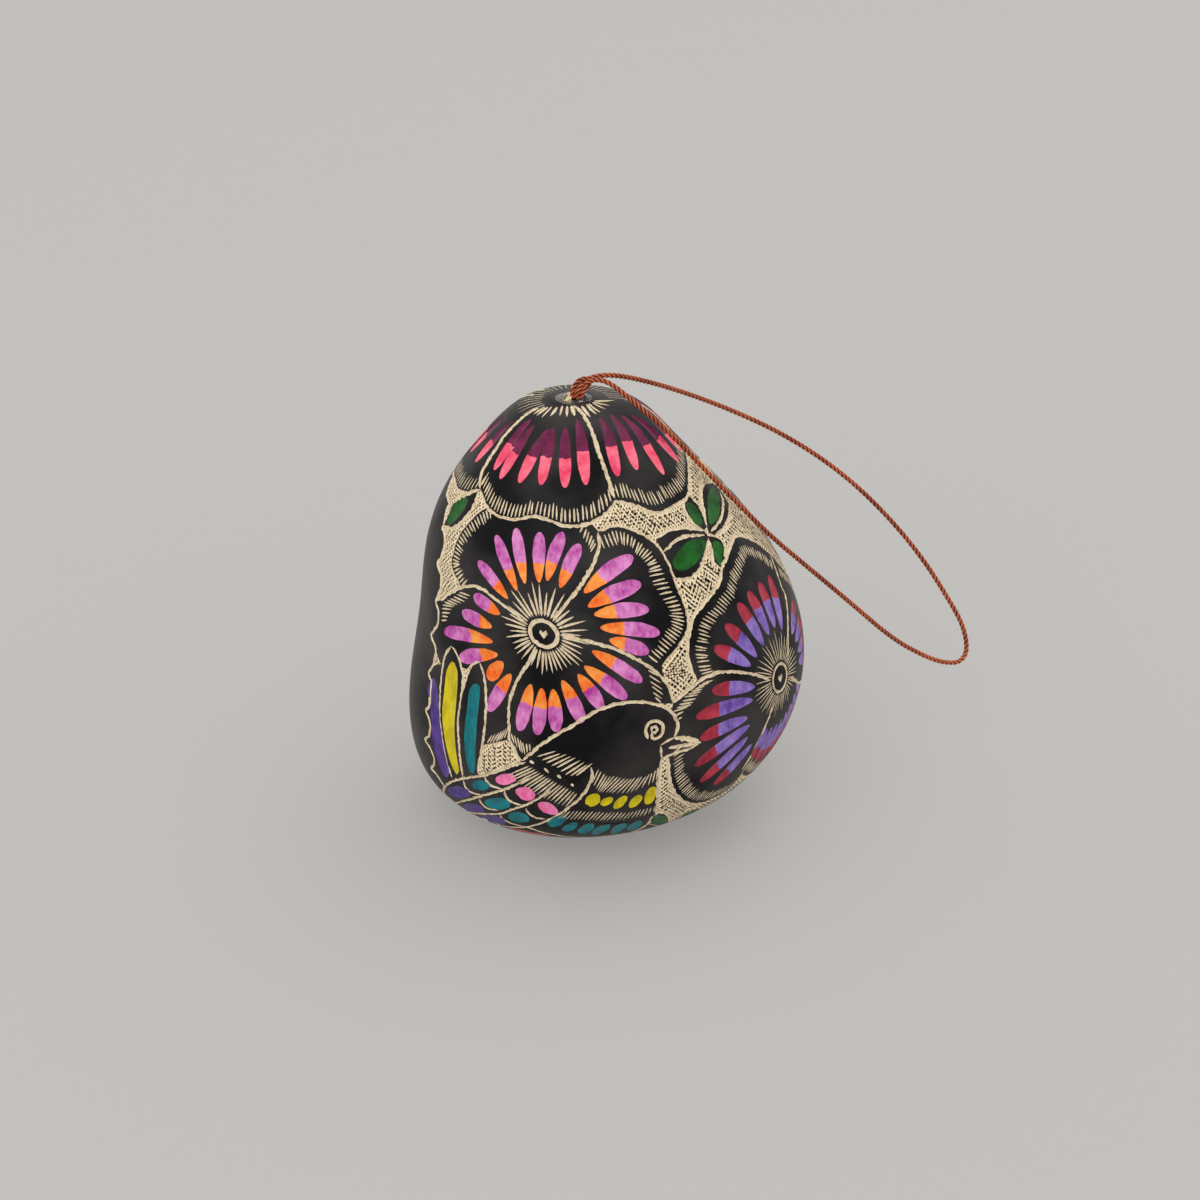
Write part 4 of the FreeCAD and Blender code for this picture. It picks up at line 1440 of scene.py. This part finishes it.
for face in whole.faces:
    if face[outer_layer]:
        places = [complex(v[map_x], v[map_y]) or complex(map_place(0, hole_bearing(v))) for v in face.verts]
        spots = [(skin_left + skin_span * turn,
                  skin_low + (skin_high - skin_low) * float(down_of(place)) / form_t[-1])
                 for turn, place in zip(turns_round([float(bearing_of(place)) for place in places]), places)]
    elif face in foot:
        spots = [(foot_middle[0] + foot_half * (v.co.x / mm - rest_place[0]) / rest_radius,
                  foot_middle[1] + foot_half * v.co.y / mm / rest_radius) for v in face.verts]
    else:
        turns = turns_round([math.atan2(v.co.x / mm - form_middle[0], -(v.co.y / mm)) for v in face.verts])
        spots = [(inside_corner[0] + inside_size[0] * turn,
                  inside_corner[1] + inside_size[1] * v.co.z / mm / crown_height)
                 for turn, v in zip(turns, face.verts)]
    for loop, spot in zip(face.loops, spots):
        loop[bake_map].uv = spot
whole.to_mesh(skin_data)
whole.free()
print("the map holds", len(skin_data.loops), "corners")


# %% The normals of the black skin, and its piece
def values_of(name):
    return np.array([value.value for value in skin_data.attributes[name].data])


outer_faces = values_of("outer")
places = values_of("map_x") + 1j * values_of("map_y")
places[places == 0] = 1
smooth_normals = on_gourd(places)[1]
corner_normals = np.zeros((len(skin_data.loops), 3))
for face in skin_data.polygons:
    if outer_faces[face.index] and face.material_index == 0:
        corner_normals[list(face.loop_indices)] = smooth_normals[list(face.vertices)]
skin_data.normals_split_custom_set(corner_normals.tolist())
for name in ("outer", "map_x", "map_y"):
    skin_data.attributes.remove(skin_data.attributes[name])
skin = add_object("carved_skin", skin_data)
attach(skin, "gourd")
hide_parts("gourd_shell")
print("carved skin:", len(skin_data.vertices), "points")

# %% [markdown]
# ### Finishes of the skin
# The skin is stained black and rubbed to a soft shine. It has grey patches that are partly dull wear and
# partly painted sheen, where the black catches the light. The cuts are bare shell, pale and fibrous. The dyes
# are thin and let the scraped fibres show through in lighter streaks.


# %% Node groups that the finishes share
def new_group(name, inputs, outputs):
    """A shader node group with its sockets, as (name, kind, value), and its two end nodes."""
    group = bpy.data.node_groups.new(name, "ShaderNodeTree")
    for socket, kind, value in inputs:
        made = group.interface.new_socket(socket, in_out="INPUT", socket_type="NodeSocket" + kind)
        made.default_value = value
    for socket, kind in outputs:
        group.interface.new_socket(socket, in_out="OUTPUT", socket_type="NodeSocket" + kind)
    return group, node(group, "NodeGroupInput"), node(group, "NodeGroupOutput")


def use_group(tree, group, **values):
    return set_up(node(tree, "ShaderNodeGroup", node_tree=group), values)


def math_node(tree, operation, *inputs):
    """A Math node whose inputs are sockets or numbers."""
    made = node(tree, "ShaderNodeMath", operation=operation)
    for socket, value in zip(made.inputs, inputs):
        if isinstance(value, bpy.types.NodeSocket):
            tree.links.new(value, socket)
        else:
            socket.default_value = value
    return made.outputs[0]


# %% Fibres
fibres, group_in, group_out = new_group(
    "fibres", (("Size", "Float", 3000.0), ("Stretch", "Float", 4.0), ("Patch Size", "Float", 260.0)),
    (("Streaks", "Float"), ("Patches", "Float")))
object_place = node(fibres, "ShaderNodeTexCoord").outputs["Object"]
stretch_node = node(fibres, "ShaderNodeCombineXYZ", X=1.0, Y=1.0)
scale_node = node(fibres, "ShaderNodeVectorMath", operation="MULTIPLY")
fine_noise = node(fibres, "ShaderNodeTexNoise", Detail=6.0, Roughness=0.6)
wide_noise = node(fibres, "ShaderNodeTexNoise", Detail=3.0)
for source, target in (
    (math_node(fibres, "DIVIDE", 1.0, group_in.outputs["Stretch"]), stretch_node.inputs["Z"]),
    (object_place, scale_node.inputs[0]), (stretch_node.outputs[0], scale_node.inputs[1]),
    (scale_node.outputs[0], fine_noise.inputs["Vector"]),
    (group_in.outputs["Size"], fine_noise.inputs["Scale"]),
    (object_place, wide_noise.inputs["Vector"]), (group_in.outputs["Patch Size"], wide_noise.inputs["Scale"]),
    (fine_noise.outputs["Fac"], group_out.inputs["Streaks"]),
    (wide_noise.outputs["Fac"], group_out.inputs["Patches"]),
):
    fibres.links.new(source, target)
print("made the group", fibres.name)


# %% Ramps and bumps
def ramp(tree, source, stops):
    """A colour ramp over a value, with stops as (place, colour), the colour from 0 to 255."""
    made = node(tree, "ShaderNodeValToRGB")
    while len(made.color_ramp.elements) < len(stops):
        made.color_ramp.elements.new(0.5)
    for element, (place, colour) in zip(made.color_ramp.elements, stops):
        element.position, element.color = place, srgb(*colour)
    tree.links.new(source, made.inputs["Fac"])
    return made.outputs["Color"]


def bump(tree, shader, source, strength, distance):
    """Bumps from a value, with their height in metres."""
    made = node(tree, "ShaderNodeBump", Strength=strength, Distance=distance)
    tree.links.new(source, made.inputs["Height"])
    tree.links.new(made.outputs["Normal"], shader.inputs["Normal"])


# %% Strokes that cross in the ground
hatching, group_in, group_out = new_group(
    "hatching", (("Pitch", "Float", 0.0005), ("Waver", "Float", 1.2)), (("Lines", "Float"),))
mean_girth = 0.026  # m, turns a bearing into a distance round the gourd
waver_angle = 6.0  # radians of a wave's turn at a waver of 1
turns_per_pitch = math.pi * math.sqrt(2)


def calc(operation, *inputs):
    return math_node(hatching, operation, *inputs)


place_node = node(hatching, "ShaderNodeTexCoord")
split_node = node(hatching, "ShaderNodeSeparateXYZ")
waver_node = node(hatching, "ShaderNodeTexNoise", Scale=420.0, Detail=2.0)
hatching.links.new(place_node.outputs["Object"], split_node.inputs[0])
hatching.links.new(place_node.outputs["Object"], waver_node.inputs["Vector"])
bearing_socket = calc("ARCTAN2", split_node.outputs["X"], calc("MULTIPLY", split_node.outputs["Y"], -1.0))
around = calc("MULTIPLY", bearing_socket, mean_girth)
waver = calc("MULTIPLY", waver_node.outputs["Fac"], group_in.outputs["Waver"])
waves = []
for operation in ("ADD", "SUBTRACT"):
    across = calc(operation, around, split_node.outputs["Z"])
    turns = calc("MULTIPLY", calc("DIVIDE", across, group_in.outputs["Pitch"]), turns_per_pitch)
    waves.append(calc("SINE", calc("ADD", turns, calc("MULTIPLY", waver, waver_angle))))
hatching.links.new(calc("MULTIPLY_ADD", calc("MAXIMUM", *waves), 0.5, 0.5), group_out.inputs["Lines"])
print("groups:", [group.name for group in bpy.data.node_groups])

# %% Black skin and bare shell
black_skin, tree, shader = new_material("black_skin", Specular_IOR_Level=0.13)
grain = use_group(tree, fibres, Size=900.0, Stretch=1.0, Patch_Size=85.0)
# grey patches: partly dull wear, partly painted sheen where the black skin catches the light
worn_haze_and_painted_sheen = ramp(tree, grain.outputs["Patches"], ((0.40, (8, 6, 8)), (0.76, (62, 58, 58))))
tree.links.new(worn_haze_and_painted_sheen, shader.inputs["Base Color"])
gloss = node(tree, "ShaderNodeMapRange", To_Min=0.30, To_Max=0.50)
tree.links.new(grain.outputs["Streaks"], gloss.inputs["Value"])
tree.links.new(gloss.outputs["Result"], shader.inputs["Roughness"])
bump(tree, shader, grain.outputs["Streaks"], 0.25, 0.00004)


def fibrous(name, tones, size, stretch, bumps, **values):
    """Dry plant fibre: its tones follow the streaks, and so do its bumps, given as strength and height."""
    material, tree, shader = new_material(name, **values)
    grain = use_group(tree, fibres, Size=size, Stretch=stretch)
    tree.links.new(ramp(tree, grain.outputs["Streaks"], tones), shader.inputs["Base Color"])
    bump(tree, shader, grain.outputs["Streaks"], *bumps)
    return material


pale_tones = ((0.30, (196, 170, 132)), (0.5, (230, 212, 180)), (0.8, (246, 236, 214)))
pale_wood = fibrous("pale_wood", pale_tones, 2600.0, 3.0, (0.4, 0.00005), Roughness=0.75,
                    Specular_IOR_Level=0.2)

hatched_ground, tree, shader = new_material("hatched_ground", Roughness=0.8, Specular_IOR_Level=0.15)
grain = use_group(tree, fibres, Size=2600.0, Stretch=3.0)
strokes = use_group(tree, hatching, Pitch=0.00052)
shade = math_node(tree, "MULTIPLY", strokes.outputs["Lines"],
                  math_node(tree, "MULTIPLY_ADD", grain.outputs["Streaks"], 0.7, 0.62))
ground_tones = ((0.30, (120, 94, 60)), (0.58, (212, 186, 142)), (0.85, (244, 228, 196)))
tree.links.new(ramp(tree, shade, ground_tones), shader.inputs["Base Color"])
bump(tree, shader, strokes.outputs["Lines"], 0.5, 0.00008)
print("made", black_skin.name, pale_wood.name, "and", hatched_ground.name)


# %% The dyes
def dye(name, deep, light):
    """A thin dye: deep where it pooled and lighter along the scraped fibres."""
    material, tree, shader = new_material(name, Roughness=0.38, Specular_IOR_Level=0.25)
    grain = use_group(tree, fibres, Size=1500.0, Stretch=2.5, Patch_Size=420.0)
    mottle = math_node(tree, "ADD", math_node(tree, "MULTIPLY", grain.outputs["Streaks"], 0.45),
                       math_node(tree, "MULTIPLY", grain.outputs["Patches"], 0.55))
    tree.links.new(ramp(tree, mottle, ((0.37, deep), (0.62, light))), shader.inputs["Base Color"])
    bump(tree, shader, grain.outputs["Streaks"], 0.22, 0.00003)
    return material


dyes = {
    "orchid": ((176, 44, 152), (230, 146, 206)), "orange": ((248, 92, 4), (255, 166, 76)),
    "plum": ((84, 10, 50), (122, 26, 76)), "hot_pink": ((234, 54, 98), (255, 122, 144)),
    "crimson": ((140, 22, 46), (186, 54, 76)), "violet": ((98, 62, 156), (158, 128, 208)),
    "leaf_green": ((0, 58, 2), (6, 104, 12)), "tail_purple": ((56, 30, 110), (92, 60, 146)),
    "olive_yellow": ((190, 166, 0), (226, 208, 20)), "teal": ((0, 96, 106), (4, 134, 142)),
    "soft_pink": ((236, 98, 160), (255, 158, 204)), "coral": ((184, 60, 48), (220, 96, 78)),
}
finishes = {"black_skin": black_skin, "pale_wood": pale_wood, "hatched_ground": hatched_ground,
            **{name: dye(name, *tones) for name, tones in dyes.items()}}
for name in colours:
    skin_data.materials.append(finishes[name])
print(len(finishes), "finishes on the skin")

# %% [markdown]
# ## Cord, peg, glue and seeds
# The cord is waxed rust-brown thread. Its fibres run along the strands, so the pattern follows the strands'
# own map, and painted shade darkens it where the strands meet and lightens it on their crests. The peg is a
# raw splinter of pale wood. The glue round it is clear, and shows mostly as a few bright spots.


# %% The waxed cord
waxed_cord, tree, shader = new_material("waxed_cord", Roughness=0.5, Specular_IOR_Level=0.3)
strand_place = node(tree, "ShaderNodeUVMap", uv_map="strand_map")
fibre_shape = node(tree, "ShaderNodeMapping", Scale=(9.0, 1.6, 1.0))  # fibres round a strand and along a turn
fibre_noise = node(tree, "ShaderNodeTexNoise", Scale=1.0, Detail=4.0, Roughness=0.65)
tree.links.new(strand_place.outputs["UV"], fibre_shape.inputs["Vector"])
tree.links.new(fibre_shape.outputs["Vector"], fibre_noise.inputs["Vector"])
grain = use_group(tree, fibres, Patch_Size=240.0)
crest_height = node(tree, "ShaderNodeAttribute", attribute_name="crest")
tone_and_strand_shade = math_node(tree, "MULTIPLY_ADD", grain.outputs["Patches"], 0.35,
                 math_node(tree, "MULTIPLY", fibre_noise.outputs["Fac"], 0.5))
# painted shade and highlight: darker where the strands meet, lighter on their crests
tone_and_strand_shade = math_node(tree, "MULTIPLY_ADD", crest_height.outputs["Fac"], 0.42,
                 math_node(tree, "SUBTRACT", tone_and_strand_shade, 0.16))
# the deepest tone is the painted shade between strands, the lightest the painted light on the crests
cord_tones = ((0.28, (52, 17, 9)), (0.5, (130, 52, 28)), (0.70, (204, 112, 70)))
tree.links.new(ramp(tree, tone_and_strand_shade, cord_tones), shader.inputs["Base Color"])
bump(tree, shader, fibre_noise.outputs["Fac"], 0.35, 0.00004)
for piece in (loop_cord, crown_knot, tail_cords, stopper):
    piece.data.materials.clear()
    piece.data.materials.append(waxed_cord)

print(len(cord_tones), "tones on the cord")


# %% The peg, the glue and the seeds
def finish_node(name, material):
    """Gives a CAD node its finish."""
    for material_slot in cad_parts[name].material_slots:
        material_slot.material = material
    print(name, "is", material.name)


peg_tones = ((0.32, (176, 152, 100)), (0.5, (216, 198, 150)), (0.75, (236, 224, 190)))
finish_node("stem_peg", fibrous("split_peg_wood", peg_tones, 2400.0, 7.0, (0.5, 0.00008), Roughness=0.7))

clear_glue, tree, shader = new_material("clear_glue", Base_Color=srgb(232, 228, 230), Transmission_Weight=1.0,
                                        IOR=1.45)
grain = use_group(tree, fibres, Size=700.0, Stretch=1.0)
gloss = node(tree, "ShaderNodeMapRange", To_Min=0.04, To_Max=0.22)
tree.links.new(grain.outputs["Streaks"], gloss.inputs["Value"])
tree.links.new(gloss.outputs["Result"], shader.inputs["Roughness"])
bump(tree, shader, grain.outputs["Streaks"], 0.45, 0.0003)
finish_node("glue_drop", clear_glue)

seed_tones = ((0.35, (134, 104, 66)), (0.65, (190, 160, 116)))
finish_node("gourd_seeds", fibrous("dry_seed", seed_tones, 1800.0, 1.0, (0.3, 0.00008), Roughness=0.8))
